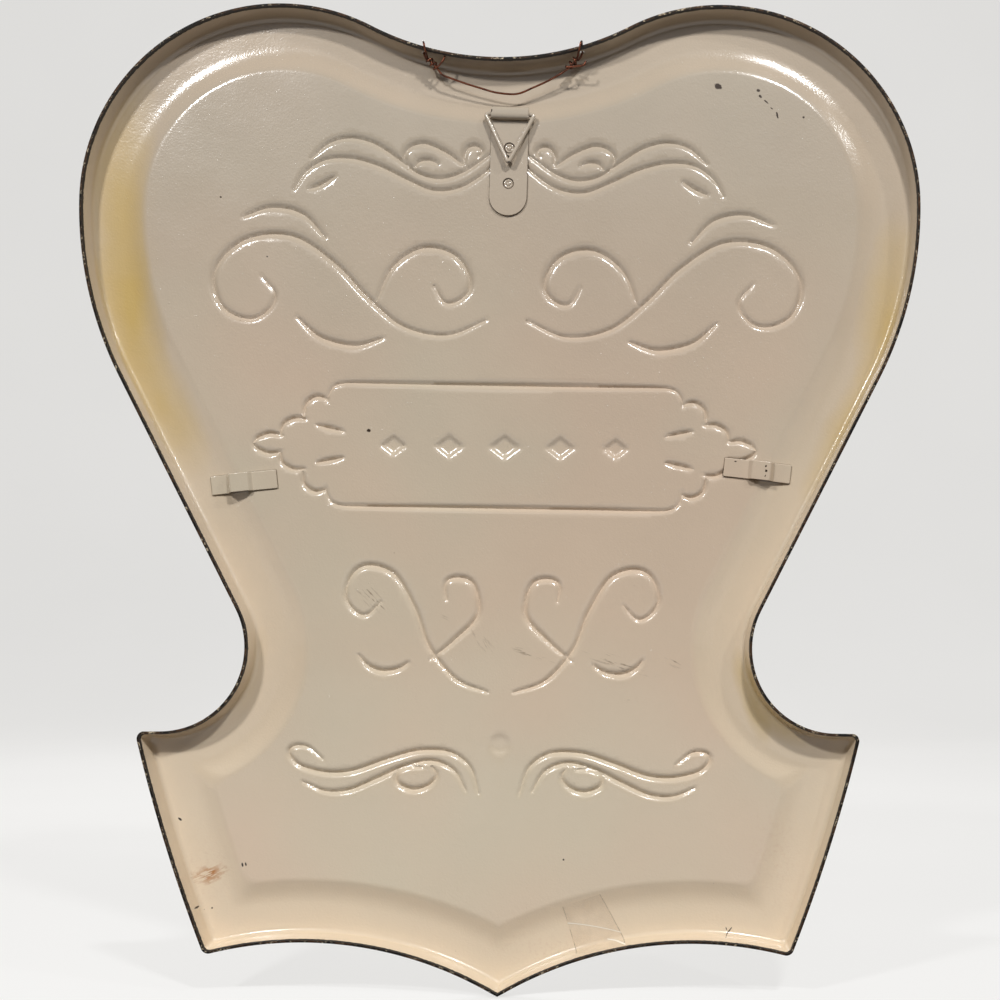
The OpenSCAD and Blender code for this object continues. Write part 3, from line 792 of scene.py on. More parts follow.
# Marks in the paint, each with its centre and size in the layout's millimetres and its turn in
# degrees. Stains and tints also have their strength.
STAINS = [
    ((192, 0, 400), (24, 6, 70), 0, 0.7), ((187, 0, 345), (22, 6, 70), -5, 1.0),
    ((172, 0, 298), (18, 6, 50), -26, 0.65), ((-196, 0, 335), (18, 6, 62), 4, 0.8),
    ((-180, 0, 286), (17, 6, 55), 26, 0.85), ((-127, 5, 152), (8, 12, 30), -18, 1.0),
    ((-141, 5, 137), (24, 12, 9), 34, 0.95), ((128, 0, 160), (9, 12, 26), 16, 0.3),
]
TINTS = [((150, 60), (22, 30), 0, 0.35), ((-140, 70), (18, 46), 0, 0.45), ((-30, 20), (60, 14), 8, 0.5)]
CHIPS = [
    ((-109, 457.5), (2.1, 1.6), 20), ((-129.2, 455.6), (1.1, 0.8), 20), ((-130.4, 452.6), (1.2, 0.7), 50),
    ((-133.4, 449.8), (1.7, 0.4), 40), ((-136, 446.6), (0.9, 0.35), 40), ((-138.9, 443), (0.55, 2.0), -15),
    ((-152.2, 442.2), (0.7, 0.7), 0), ((66.5, 283.5), (1.2, 0.9), 0), ((129.5, 64.5), (0.6, 1.2), -15),
    ((127.8, 64.7), (0.5, 1.2), -15), ((162, 87), (1.6, 0.6), 35), ((152, 43), (0.6, 0.6), 0),
    ((145.5, 42), (0.5, 0.5), 0), ((-116, 31.1), (0.35, 3), 38), ((-114.8, 32.4), (0.25, 1), -20),
    ((118, 371), (0.5, 0.5), 0), ((-32.4, 67.5), (0.5, 0.5), 0), ((141.5, 401), (0.6, 0.5), 0),
    ((-158, 137), (0.6, 0.5), 0),
]
SCRATCHES = [
    ((65, 199.5), (12, 4.5), 45), ((28.6, 189), (7, 1.8), 24), ((8.6, 177.5), (10, 3.2), 53),
    ((-15.4, 171), (13, 2), 18), ((-58, 167), (17, 4), 20), ((-89, 166.5), (8, 2.6), 32),
    ((-63, 148), (3, 1.5), 0), ((118, 240), (5, 2), 0), ((-73, 190), (3, 1), 0),
]
FITTING_CHIPS = {
    "strap": [
        ((4.9, 443.5), (0.7, 1.0), 0), ((-14.3, 441.8), (0.8, 0.9), 0), ((-14.3, 438.5), (0.7, 0.9), 0),
        ((-3.6, 421.4), (1.8, 0.7), 30), ((-2.4, 423.6), (0.7, 1.0), 10), ((-5.2, 420.6), (0.7, 0.5), 0),
    ],
    "weld": [((-2.6, 422.8), (0.7, 0.9), 20)],
    "ring": [((-4.2, 416.6), (1.8, 1.2), 0)],
    "keeper_left": [],
    "keeper_right": [((-133.6, 266.0), (0.5, 0.7), 20), ((-133.7, 263.6), (0.7, 0.8), -20),
                     ((-133.2, 261.0), (0.3, 0.8), 25), ((-118.4, 268.5), (0.7, 0.3), 0)],
}

# Half depth of a mark that runs through the whole sheet
DEEP = 40

# Colours of dirt and wear, and of painted shade, as linear values
SOOT = (0.045, 0.029, 0.02, 1)
DIRT_AND_SHADE = (0.09, 0.06, 0.04, 1)
TOP_WALL_SHADE = (0.12, 0.095, 0.075, 1)
SPECK, FITTING_SPECK = (0.20, 0.12, 0.07, 1), (0.16, 0.10, 0.06, 1)
SCRATCH = (0.22, 0.16, 0.11, 1)
RUST, TINT = (0.48, 0.20, 0.06, 1), (0.62, 0.40, 0.28, 1)
ROSY = (1.05, 0.965, 0.955)
# The tape's crease colour is a painted highlight.
TAPE_CLEAR, TAPE_DIRT, TAPE_CREASE_HIGHLIGHT = (0.70, 0.53, 0.40, 1), (0.30, 0.21, 0.14, 1), (0.95, 0.88, 0.76, 1)
ENAMEL_LIGHT, ENAMEL_CHIP, WORN_CREAM = (0.03, 0.024, 0.018, 1), (0.20, 0.11, 0.06, 1), (0.55, 0.40, 0.18, 1)
EDGE_BLACK, PRIMER, STEEL = (0.007, 0.006, 0.005, 1), (0.06, 0.03, 0.015, 1), (0.50, 0.42, 0.30, 1)
COPPER_DARK = (0.055, 0.022, 0.014, 1)

# Dirt and painted shade round the welds: the button's share of the radius, the ring's width and its soft edge
WELD_BUTTON, WELD_RING_WIDTH, WELD_LINE = 0.45, 0.55, 0.3

# Gloss coat's weight and roughness
COAT, COAT_ROUGH = 0.35, 0.06


def down_strap(drop):
    """Point on the strap's middle line, some millimetres below the eye."""
    lean = math.radians(HANGER_TURN)
    return drop * MM * math.sin(lean), 0, -drop * MM * math.cos(lean)


def crevice_dirt_and_shade(at):
    """Lines of dirt and painted shade on the sheet along the strap and round the keepers."""
    high, low = STRAP_RISE + STRAP_R, STRAP_LEN - STRAP_R
    dirt_and_shade = larger(seam(at, down_strap((high + low) / 2), (0, DEEP, (low - high) / 2), STRAP_R, HANGER_TURN),
                  seam(at, down_strap(high), (STRAP_R - 0.5, DEEP, STRAP_R - 1), 0.5, HANGER_TURN))
    for side in (1, -1):
        tilt = math.radians(side * KEEPER_TILT)
        back = -side * KEEPER_SHIFT
        middle = place(side * (flank_x(KEEPER_H) - KEEPER_INSET) + back * math.cos(tilt), 0,
                       KEEPER_H - side * KEEPER_SKEW / 2 - back * math.sin(tilt))
        half = ((KEEPER_LEN - 1) / 2, DEEP, (KEEPER_W - 1) / 2)
        dirt_and_shade = larger(dirt_and_shade, seam(at, middle, half, 0.5, -side * KEEPER_TILT))
    return dirt_and_shade


def weld_groove_dirt_and_shade(at):
    """Dirt and painted shade in the groove round each plug weld and round the button in its middle."""
    dirt_and_shade = None
    for drop in WELDS:
        for radius, share in ((WELD_R, 0.9), (WELD_R * WELD_BUTTON, 0.45)):
            outer, inner = (seam(at, down_strap(drop), (0, DEEP, 0), edge, 0, WELD_LINE)
                            for edge in (radius, radius - WELD_RING_WIDTH))
            line = times(maths("SUBTRACT", outer, inner), share)
            dirt_and_shade = larger(dirt_and_shade, line) if dirt_and_shade else line
    return dirt_and_shade


def marked(at, colour, marks, tint, ragged=0.3, grain=600.0, softness=0.3):
    """A colour with a list of marks laid over it."""
    for (x, z), (wide, high), turn, *share in marks:
        mask = spot(at, (x, 0, z), (wide, DEEP, high), turn, ragged, grain, softness)
        colour = mix(times(mask, *share), colour, tint)
    return colour


def height_graded_tone(at, film, channel=None):
    """Back coat's colour, lighter cream low on the sign, darker and greyer higher up, and rosy in patches of
    the field.
    """
    paint = bpy.context.scene.sign_paint
    height = outputs_of("SeparateXYZ", at)
    blotch = times(maths("SUBTRACT", film["Tone"], 0.5), 0.3)
    tone = maths("ADD", remap(height["Z"], -0.42, 0.0), blotch, clamp=True)
    colour = mix(tone, tuple(paint.cream), tuple(paint.grey))
    patches = times(remap(noise(at, 7, 2), 0.35, 0.6), remap(height["Z"], -0.13, -0.03, 1.0, 0.4))
    if channel:
        patches = times(patches, without(channel))
    return mix(patches, colour, vector_maths("MULTIPLY", colour, ROSY)), height


def back_coat():
    """Aged cream gloss paint of the sheet's back, yellowed and marked, with painted light in the border
    channel and painted shade round the fittings and on the wall under the top rim.
    """
    paint = bpy.context.scene.sign_paint
    made, shader, at = material("back_coat")
    film = skin(at)
    channel = attribute(at, "channel")
    colour, height = height_graded_tone(at, film, channel)
    # Painted light: the coat in the border channel is made lighter and a little warmer by the border tint.
    patchy = remap(noise(at, 14, 4), 0.25, 0.6, 0.6, 1.0)
    colour = mix(times(channel, patchy), colour, vector_maths("MULTIPLY", colour, tuple(paint.border)))
    stained = colour
    for centre, size, turn, share in STAINS:
        stained = mix(times(spot(at, centre, size, turn, 0.12, 40, 0.9), share), stained, tuple(paint.stain))
    colour = mix(remap(channel, 0.0, 0.8, 0.12, 1.0), colour, stained)
    pink = times(remap(noise(at, 520, 4, 0.7), 0.5, 0.66), 0.5)
    colour = mix(pink, colour, marked(at, colour, TINTS, TINT, 0.2, 90, 1.0))
    for (x, z), (wide, high), turn in SCRATCHES:
        area = spot(at, (x, 0, z), (wide, DEEP, high), turn, 0.2, 120, 0.8)
        colour = mix(times(area, streaks(at, turn), 0.8), colour, SCRATCH)
    rust_area = spot(at, (146.6, 0, 59.5), (10, DEEP, 5.6), -14, 0.3, 300, 0.9)
    colour = mix(times(rust_area, streaks(at, -24, 700, 0.2, 0.43, 0.52)), colour, RUST)
    colour = marked(at, colour, CHIPS, SOOT)
    # Painted shade, with dirt: a dark line in the crevices round the strap and the keepers.
    colour = mix(times(crevice_dirt_and_shade(at), 0.8), colour, DIRT_AND_SHADE)
    colour = mix(times(remap(noise(at, 210, 4, 0.75), 0.735, 0.755), 0.6), colour, SPECK)
    # Painted shade: the wall under the top rim's dip is painted darker.
    top_wall_shade = spot(at, (0, RIM_H - 3, DIP_H + 2), (85, 9, 10), 0, 0.2, 60, 1.0)
    colour = mix(times(top_wall_shade, 0.75), colour, TOP_WALL_SHADE)
    worn_y = maths("ADD", height["Y"], times(noise(at, 500, 4, 0.7), 0.0014))
    lip = remap(worn_y, BORDER_Y + (RIM_H - 1.3) * MM, BORDER_Y + (RIM_H - 1.1) * MM)
    dress(shader, film["Height"], 0.35, Base_Color=mix(lip, colour, tuple(paint.enamel)),
          Roughness=larger(film["Rough"], times(lip, 0.6)),
          Coat_Weight=times(without(lip), COAT), Coat_Roughness=COAT_ROUGH)
    return made


def fitting_coat(name):
    """Back coat on a fitting, worn dark in a few spots of its own."""
    made, shader, at = material(f"{name}_coat")
    film = skin(at)
    colour, _ = height_graded_tone(at, film)
    # Painted shade, with dirt: dark rings in the grooves round the welds.
    if name in ("strap", "weld"):
        colour = mix(weld_groove_dirt_and_shade(at), colour, DIRT_AND_SHADE)
    colour = marked(at, colour, FITTING_CHIPS[name], SOOT, 0.5, 900)
    specks = times(remap(noise(at, 800, 4, 0.7), 0.70, 0.73), 0.5)
    dress(shader, film["Height"], 0.25, Base_Color=mix(specks, colour, FITTING_SPECK),
          Roughness=film["Rough"], Coat_Weight=COAT, Coat_Roughness=COAT_ROUGH)
    return made


def clear_tape():
    """Yellowed clear tape, with dirt along its sides and a painted highlight along its creases."""
    made, shader, at = material("clear_tape")
    side = attribute(at, "side")
    # Painted highlight: the tape is painted pale and opaque along its creases.
    crease = remap(attribute(at, "crease"), 0.45, 0.6)
    cloud = remap(noise(at, 150, 4, 0.6), 0.4, 0.7, 0.04, 0.14)
    broken = remap(noise(at, 400, 3), 0.35, 0.5, 0.2, 1.0)
    colour = mix(crease, mix(side, TAPE_CLEAR, TAPE_DIRT), TAPE_CREASE_HIGHLIGHT)
    dress(shader, noise(at, 200, 3), 0.3, Base_Color=colour,
          Alpha=larger(larger(cloud, times(side, broken, 0.6)), crease),
          Roughness=remap(noise(at, 60, 2), 0.3, 0.7, 0.12, 0.25))
    return made


def face_enamel():
    """Dark gloss enamel of the display face, with aged cream rubbed over the embossing."""
    made, shader, at = material("face_enamel")
    film = skin(at, 0.6)
    colour = mix(film["Tone"], tuple(bpy.context.scene.sign_paint.enamel), ENAMEL_LIGHT)
    worn = remap(noise(at, 190, 5, 0.65), 0.42, 0.5)
    colour = mix(times(remap(attribute(at, "relief"), 0.3, 0.5), worn), colour, WORN_CREAM)
    colour = mix(remap(noise(at, 110, 5, 0.7), 0.68, 0.70), colour, ENAMEL_CHIP)
    dress(shader, film["Height"], 0.3, Base_Color=colour, Roughness=film["Rough"], Coat_Weight=0.2)
    return made


def cut_edge():
    """Rim's cut edge: dark enamel, chipped to brown primer and bright steel."""
    made, shader, at = material("cut_edge")
    fine = noise(at, 700, 4, 0.7)
    colour = mix(remap(noise(at, 240, 4, 0.7), 0.45, 0.6), EDGE_BLACK, PRIMER)
    chips = times(remap(fine, 0.56, 0.6), remap(noise(at, 130, 3), 0.42, 0.6))
    dress(shader, fine, 0.5, 0.0003, Base_Color=mix(chips, colour, STEEL), Metallic=times(chips, 0.3),
          Roughness=remap(fine, 0.3, 0.7, 0.45, 0.75), Specular_IOR_Level=0.15)
    return made


def copper_wire():
    """Dull copper, dark in places."""
    made, shader, at = material("copper_wire")
    dark = remap(noise(at, 300, 4), 0.4, 0.62)
    dress(shader, noise(at, 1200, 2), 0.3, 0.0001, Metallic=0.9, Roughness=remap(dark, 0, 1, 0.28, 0.5),
          Base_Color=mix(dark, tuple(bpy.context.scene.sign_paint.copper), COPPER_DARK))
    return made


# Hanging wire: the route of its centre line in millimetres in the layout

TWIST_A = [(32, 8, 464.5), (36.5, 8.5, 469)]
TWIST_B = [(-33.5, 8, 464.5), (-38, 8.5, 469.5)]
END_A = [(28, 9.5, 470), (29, 10, 467.5)]
END_B = [(-42.5, 10, 467.5), (-41.5, 10.5, 465.5)]
OVER_A = [(38.5, 7.5, 471.5), (38.5, 7.5, 475), (38.5, 9, 476.5), (38.5, 11.5, 476.5),
          (38, 13.2, 475), (37.5, 13, 472.5), (37, 10.5, 470.5)]
OVER_B = [(-40.5, 7.5, 472), (-40.5, 7.5, 475.5), (-40.5, 9, 477), (-40.5, 11.5, 477),
          (-40, 13.2, 475.5), (-39.5, 13, 473), (-38.8, 10.5, 471)]
SLACK = [(29.5, 7.5, 461.5), (20, 7, 458), (10, 6.5, 455), (2, 6, 453), (-8, 6, 452.5),
         (-16, 6.5, 455.5), (-25, 7, 459.5)]
TWIST_R, TWIST_TURNS, TWIST_STEPS = 1.5, 2.5, 8
WIRE_STEP = 0.6


def twist(axis, start):
    """Turns of the wire's end round its standing part."""
    low, high = (np.array(p, float) for p in axis)
    way = high - low
    u = way / np.linalg.norm(way)
    across = np.array([-u[2], 0, u[0]])
    out = np.array([0, 1, 0]) - u * u[1]
    total = int(TWIST_TURNS * TWIST_STEPS)
    points = []
    for i in range(total + 1):
        a = math.radians(start + 360 * i / TWIST_STEPS)
        points.append(low + way * i / total + TWIST_R * (math.cos(a) * across + math.sin(a) * out))
    return points


def wire_route():
    """Points of the whole wire, from one free end to the other."""
    return (
        END_A + twist(TWIST_A, 60) + OVER_A + TWIST_A[::-1] + SLACK
        + TWIST_B + OVER_B[::-1] + twist(TWIST_B, 120)[::-1] + END_B[::-1]
    )


class SIGN_OT_camera(bpy.types.Operator):
    """Add the camera at the viewing angle of the photograph"""

    bl_idname = "sign.camera"
    bl_label = "Camera"

    def execute(self, context):
        data = bpy.data.cameras.new("camera")
        data.sensor_width = SENSOR
        data.lens = SENSOR * PX_PER_M * VIEW_DISTANCE / 1000
        data.shift_x = (500 - FOOT_PX[0]) / 1000
        data.shift_y = (FOOT_PX[1] - 500) / 1000
        camera = linked("camera", data)
        x = MIDDLE_X + (MIDDLE_PX - FOOT_PX[0]) / PX_PER_M
        z = BOTTOM_Z + (BOTTOM_PX - FOOT_PX[1]) / PX_PER_M
        camera.location = (x, SHEET_HIGH.y + VIEW_DISTANCE, z)
        camera.rotation_euler = (math.radians(90), math.radians(VIEW_ROLL), math.radians(180))
        context.scene.camera = camera
        return {"FINISHED"}


class SIGN_OT_wire(bpy.types.Operator):
    """Add the copper wire, twisted over the top rim at both ends"""

    bl_idname = "sign.wire"
    bl_label = "Hanging Wire"

    def execute(self, context):
        fittings = context.scene.sign_fittings
        route = [np.array(place(*p)) for p in wire_route()]
        points = smooth_line(route, WIRE_STEP * MM)
        curve = bpy.data.curves.new("hanging_wire_copper", "CURVE")
        curve.dimensions = "3D"
        curve.bevel_depth = fittings.wire / 2
        curve.bevel_resolution = 3
        curve.use_fill_caps = True
        spline = curve.splines.new("POLY")
        spline.points.add(len(points) - 1)
        for target, p in zip(spline.points, points):
            target.co = (*p, 1)
        wire = linked("hanging_wire_copper", curve)
        finish_piece(wire, [copper_wire()], "sign", "hanging_wire")
        return {"FINISHED"}


class SIGN_OT_panel(bpy.types.Operator):
    """Add the pressed sheet with its rim, border, step and embossed field"""

    bl_idname = "sign.panel"
    bl_label = "Pressed Sheet"

    def execute(self, context):
        sheet = context.scene.sign_sheet
        rows = sheet_rows(sheet.thickness / MM)
        outlines = [ring(inset, fillet) for inset, _, fillet in rows]
        count = len(outlines[0])
        start = count * (len(rows) - 1)
        field = self.field_points(outlines[-1], sheet.line_width / MM)
        flat, triangles, border = self.field_faces(outlines[-1], field)
        points = np.vstack(outlines[:-1] + [flat])
        sizes = [count] * (len(rows) - 1) + [len(flat)]
        inset = np.repeat([*(row[0] for row in rows[:-1]), FIELD_INSET], sizes)
        y = np.repeat([*(float(row[1]) for row in rows[:-1]), STEP_H], sizes)
        relief, _ = relief_at(points, sheet.line_width / MM)
        relief[inset < BORDER_W] = 0
        y -= relief * sheet.relief / MM
        y += waves_at(points, sheet.waviness / MM) * np.clip((inset - WAVE_START) / WAVE_FADE, 0, 1)
        y = np.maximum(y, 0)
        faces = []
        loops = [list(range(r * count, (r + 1) * count)) for r in range(len(rows) - 1)]
        loops.append([start + i for i in border])
        for upper, lower in zip(loops[:-1], loops[1:]):
            for i in range(count):
                j = (i + 1) % count
                faces.append((upper[i], lower[i], lower[j], upper[j]))
        faces += [tuple(start + i for i in face) for face in triangles]
        vertices = [place(p[0], h, p[1]) for p, h in zip(points, y)]
        panel = new_object("sign_sheet", vertices, faces)
        channel = np.clip((BORDER_W + STEP_W - inset) / (CHANNEL_FADE * STEP_W), 0, 1)
        for name, values in (("relief", relief), ("channel", channel)):
            layer = panel.data.attributes.new(name, "FLOAT", "POINT")
            layer.data.foreach_set("value", values.astype(np.float32))
        outward(panel)
        if panel.data.polygons[-1].normal.y < 0:
            panel.data.flip_normals()
        finish_piece(panel, [back_coat(), face_enamel(), cut_edge()], "sign", "sign_panel")
        apply_modifier(panel, "SOLIDIFY", thickness=sheet.thickness, offset=-1.0, material_offset=1,
                       material_offset_rim=2)
        round_edges(panel, EDGE_ROUND * MM, 2, 70)
        for x in WIRE_HOLES:
            z = DIP_C[1] - math.sqrt(DIP_R ** 2 - x ** 2)
            cut(panel, place(x, WIRE_HOLE_Y, z), WIRE_HOLE_R * MM, DRILL_LEN * MM, (0, 0, 0))
        smooth(panel, 50)
        return {"FINISHED"}

    @staticmethod
    def field_points(outline, line_width):
        """Lattice points in the field, close together along the embossed lines."""
        low, high = outline.min(axis=0), outline.max(axis=0)
        nx, nz = (int(n) + 1 for n in (high - low) / (GRID, ROW_GAP))
        i, j = (a.ravel() for a in np.meshgrid(np.arange(nx), np.arange(nz)))
        points = np.stack([low[0] + (i + 0.5 * (j % 2)) * GRID, low[1] + j * ROW_GAP], axis=1)
        _, gap = relief_at(points, line_width)
        half = (gap < HALF_NEAR) & (i % 2 == 0) & (j % 2 == 0)
        points = points[(gap < WHOLE_NEAR) | half | ((i % 5 == 0) & (j % 6 == 0))]
        valleys = np.empty((0, 2))
        for line, _ in ornament_lines():
            low, high = line.min(axis=0) - 1, line.max(axis=0) + 1
            for kind in (points, valleys):
                close = np.flatnonzero(((kind > low) & (kind < high)).all(axis=1))
                crowded = close[distance_to(kind[close], line)[0] < LINE_CLEAR] if len(close) else close
                kind[crowded] = np.nan
            points, valleys = (kind[~np.isnan(kind[:, 0])] for kind in (points, valleys))
            valleys = np.vstack([valleys, line])
        points = np.vstack([points, valleys])
        return points[inside(points, ring(BORDER_W + STEP_W + EDGE_CLEAR, 6))]

    @staticmethod
    def field_faces(outline, field):
        """Triangles between the field's outline and its lattice points."""
        count = len(outline)
        flat = [Vector(p) for p in np.vstack([outline, field])]
        points, _, faces, sources, _, _ = delaunay_2d_cdt(flat, [], [list(range(count))], 1, 1e-5)
        border = [0] * count
        for index, origin in enumerate(sources):
            for source in origin:
                if source < count:
                    border[source] = index
        return np.array([tuple(p) for p in points]), faces, border


class SIGN_OT_strap(bpy.types.Operator):
    """Add the hanger strap, folded forwards over the ring's bar"""

    bl_idname = "sign.strap"
    bl_label = "Hanger Strap"

    def execute(self, context):
        fittings = context.scene.sign_fittings
        half, t = fittings.strap_width / 2, fittings.strap_thickness
        plate = STRAP_BACK * MM + t / 2
        bend = EYE_R * MM + t / 2
        end = -STRAP_LEN * MM + half
        path, widths = [], []
        for a in np.radians(np.linspace(END_START, 90, END_STEPS)):
            path.append((0, plate, end - half * math.cos(a)))
            widths.append(2 * half * math.sin(a))
        path += [(0, plate, -STRAP_RISE * MM), (0, -bend, -LOOP_LOW * MM)]
        path += [(0, *p) for p in arc((0, LOOP_HIGH * MM), bend, 180, 0, 12)]
        path += [(0, *p) for p in arc((0, -LOOP_LOW * MM), bend, 0, LOOP_END, 8)]
        widths += [2 * half] * (len(path) - len(widths))
        strap = strip("hanger_strap_steel", path, widths, 0)
        apply_modifier(strap, "SOLIDIFY", thickness=t, offset=0.0, use_even_offset=True)
        for drop in WELDS:
            cut(strap, (0, plate, -drop * MM), (WELD_R + WELD_PLAY) * MM, 4 * t, (math.radians(90), 0, 0))
        outward(strap)
        round_edges(strap, EDGE_ROUND * MM, 3, 55)
        turn_and_apply(strap, -HANGER_TURN, "Y")
        finish_strap(strap, "strap", "hanger_strap")
        return {"FINISHED"}


class SIGN_OT_welds(bpy.types.Operator):
    """Add the two plug welds that fill the strap's holes"""

    bl_idname = "sign.welds"
    bl_label = "Plug Welds"

    def execute(self, context):
        t = context.scene.sign_fittings.strap_thickness / MM
        depth = t - WELD_SINK
        discs = []
        for drop in WELDS:
            bpy.ops.mesh.primitive_cylinder_add(
                vertices=40, radius=WELD_R * MM, depth=depth * MM, rotation=(math.radians(-90), 0, 0),
                location=(0, (STRAP_BACK + depth / 2) * MM, -drop * MM))
            disc = bpy.context.active_object
            bpy.ops.object.transform_apply()
            self.crater(disc)
            discs.append(disc)
        bpy.ops.object.select_all(action="DESELECT")
        for disc in discs:
            disc.select_set(True)
        bpy.context.view_layer.objects.active = discs[0]
        bpy.ops.object.join()
        welds = bpy.context.active_object
        welds.name = "strap_plug_welds"
        turn_and_apply(welds, -HANGER_TURN, "Y")
        finish_fitting(welds, "weld", "sign", "strap_welds")
        return {"FINISHED"}

    @staticmethod
    def crater(disc):
        """Sinks a groove round a raised button in the disc's visible face."""
        only(disc)
        with editing():
            bpy.ops.mesh.select_mode(type="FACE")
            bpy.ops.mesh.select_all(action="DESELECT")
        for face in disc.data.polygons:
            face.select = face.normal.y > 0.9
        with editing():
            for width, depth in WELD_INSETS:
                bpy.ops.mesh.inset(thickness=width * MM, depth=depth * MM)


class SIGN_OT_ring(bpy.types.Operator):
    """Add the triangular ring of round wire"""

    bl_idname = "sign.ring"
    bl_label = "Hanger Ring"

    def execute(self, context):
        bpy.ops.mesh.primitive_circle_add(vertices=3, radius=1, fill_type="NOTHING", location=(0, 0, 0))
        ring_wire = bpy.context.active_object
        ring_wire.name = "hanger_ring_wire"
        corners = ((-RING_HALF, 0, 0), (RING_HALF, 0, 0), (0, 0, -RING_DROP))
        for vertex, corner in zip(ring_wire.data.vertices, corners):
            vertex.co = Vector(corner) * MM
        with editing("SELECT"):
            bpy.ops.mesh.bevel(offset=RING_BEND * MM, segments=8, affect="VERTICES")
        bpy.ops.object.convert(target="CURVE")
        ring_wire = bpy.context.active_object
        ring_wire.data.bevel_depth = context.scene.sign_fittings.ring_wire / 2
        ring_wire.data.bevel_resolution = 6
        bpy.ops.object.convert(target="MESH")
        outward(ring_wire)
        turn_and_apply(ring_wire, RING_REST, "X")
        turn_and_apply(ring_wire, -HANGER_TURN, "Y")
        finish_fitting(ring_wire, "ring", "ring", "hanger_ring")
        return {"FINISHED"}


class SIGN_OT_keepers(bpy.types.Operator):
    """Add the two bridge straps welded over the step"""

    bl_idname = "sign.keepers"
    bl_label = "Keepers"

    def execute(self, context):
        for name, side in (("keeper_left", 1), ("keeper_right", -1)):
            self.keeper(context, name, side)
        return {"FINISHED"}

    @staticmethod
    def keeper(context, name, side):
        """One keeper, bent along the sheet, then tilted and moved to its place."""
        t = context.scene.sign_fittings.keeper_thickness / MM
        height = KEEPER_H - side * KEEPER_SKEW / 2
        middle = flank_x(KEEPER_H) - KEEPER_INSET
        inset = (flank_x(height) - middle) * math.cos(math.radians(FLANK_LEAN))
        lean = math.radians(FLANK_LEAN - KEEPER_TILT)
        edge = KEEPER_TOP / 2
        heel = edge + KEEPER_RAMP
        toe = KEEPER_LEN / 2 - KEEPER_SHIFT
        inner = -KEEPER_LEN / 2 - KEEPER_SHIFT
        places = [inner, (inner - heel) / 2, -heel, -edge, edge, heel, *np.linspace(heel, toe, 6)[1:]]
        path = []
        for u in places:
            near = inset - u * math.cos(lean) + KEEPER_W / 2 * math.sin(lean)
            y = back_y(near) if abs(u) > edge else STEP_H + KEEPER_GAP
            path.append((side * u * MM, (y + t / 2) * MM, 0))
        strap = strip(f"{name}_steel", path, [KEEPER_W * MM] * len(path), 2)
        round_edges(strap, KEEPER_BEND * MM, 4, 20)
        apply_modifier(strap, "SOLIDIFY", thickness=t * MM, offset=0.0, use_even_offset=True)
        outward(strap)
        round_edges(strap, KEEPER_ROUND * MM, 3, 55)
        turn_and_apply(strap, side * KEEPER_TILT, "Y")
        move_and_apply(strap, place(side * middle, 0, height))
        finish_strap(strap, name, name)


class SIGN_OT_tape(bpy.types.Operator):
    """Add the strip of old clear tape left on the lower border"""

    bl_idname = "sign.tape"
    bl_label = "Tape Remnant"

    def execute(self, context):
        bpy.ops.mesh.primitive_grid_add(x_subdivisions=60, y_subdivisions=90, size=2)
        tape = bpy.context.active_object
        tape.name = "tape_remnant"
        a, b, c, d = (np.array(corner) for corner in TAPE)
        sides, crease_highlights = [], []
        for vertex in tape.data.vertices:
            u, v = (vertex.co.x + 1) / 2, (vertex.co.y + 1) / 2
            x, z = (1 - v) * ((1 - u) * a + u * b) + v * ((1 - u) * d + u * c)
            vertex.co = place(x, RIM_H, z)
            sides.append(max(0.0, 1 - min(u, 1 - u) / TAPE_EDGE))
            # Mask of the painted highlight along the tape's long and short creases.
            off = abs(v - LONG_CREASE[0] - LONG_CREASE[1] * u - LONG_CREASE[2] * u * u)
            if u > SHORT_START:
                off = min(off, abs(v - SHORT_CREASE[0] - SHORT_CREASE[1] * (u - SHORT_START)))
            crease_highlights.append(max(0.0, 1 - off / TAPE_EDGE))
        for name, values in (("side", sides), ("crease", crease_highlights)):
            tape.data.attributes.new(name, "FLOAT", "POINT").data.foreach_set("value", values)
        target = bpy.data.objects["sign_sheet"]
        apply_modifier(tape, "SHRINKWRAP", target=target, wrap_method="PROJECT", use_project_y=True,
                       use_negative_direction=True, use_positive_direction=False, offset=TAPE_GAP * MM)
        if tape.data.polygons[0].normal.y < 0:
            tape.data.flip_normals()
        finish_piece(tape, [clear_tape()], "sign", None, 60)
        return {"FINISHED"}


# Lamps: the setting with its power, its place and its size, all aimed at one point of the sign
LAMPS = {
    "lamp_left": ("left", (0.75, 1.3, 0.80), (0.16, 0.12)),
    "lamp_right": ("right", (-0.50, 1.3, 1.05), (0.16, 0.12)),
    "lamp_side": ("side", (-1.14, 0.87, 0.92), (0.08, 0.06)),
    "fill": ("fill", (0.1, 1.6, 0.7), (1.2, 0.6)),
    "lamp_face": ("face", (0.4, -1.4, 0.9), (1.0, 0.6)),
}
LAMP_AIM = (0, 0, -0.2)

# Floor and backdrop in metres: where the bend starts, its radius and half the width. Their gap below
# the sign is in millimetres. Their paint has one colour for the light that it throws back onto the
# sign and another for what is seen. The world has the same for its light.
SWEEP_FOOT, SWEEP_BEND, SWEEP_WIDE = -1.7, 0.8, 6.0
FLOOR_GAP = 0.2
STAGE_DARK, STAGE_SEEN, STAGE_CLOUD = (0.10, 0.08, 0.06, 1), (0.2, 0.2, 0.2, 1), (0.86, 0.85, 0.83, 1)
SKY, SKY_LIGHT, SKY_SEEN = (0.95, 0.96, 1.0, 1), 0.06, 0.85


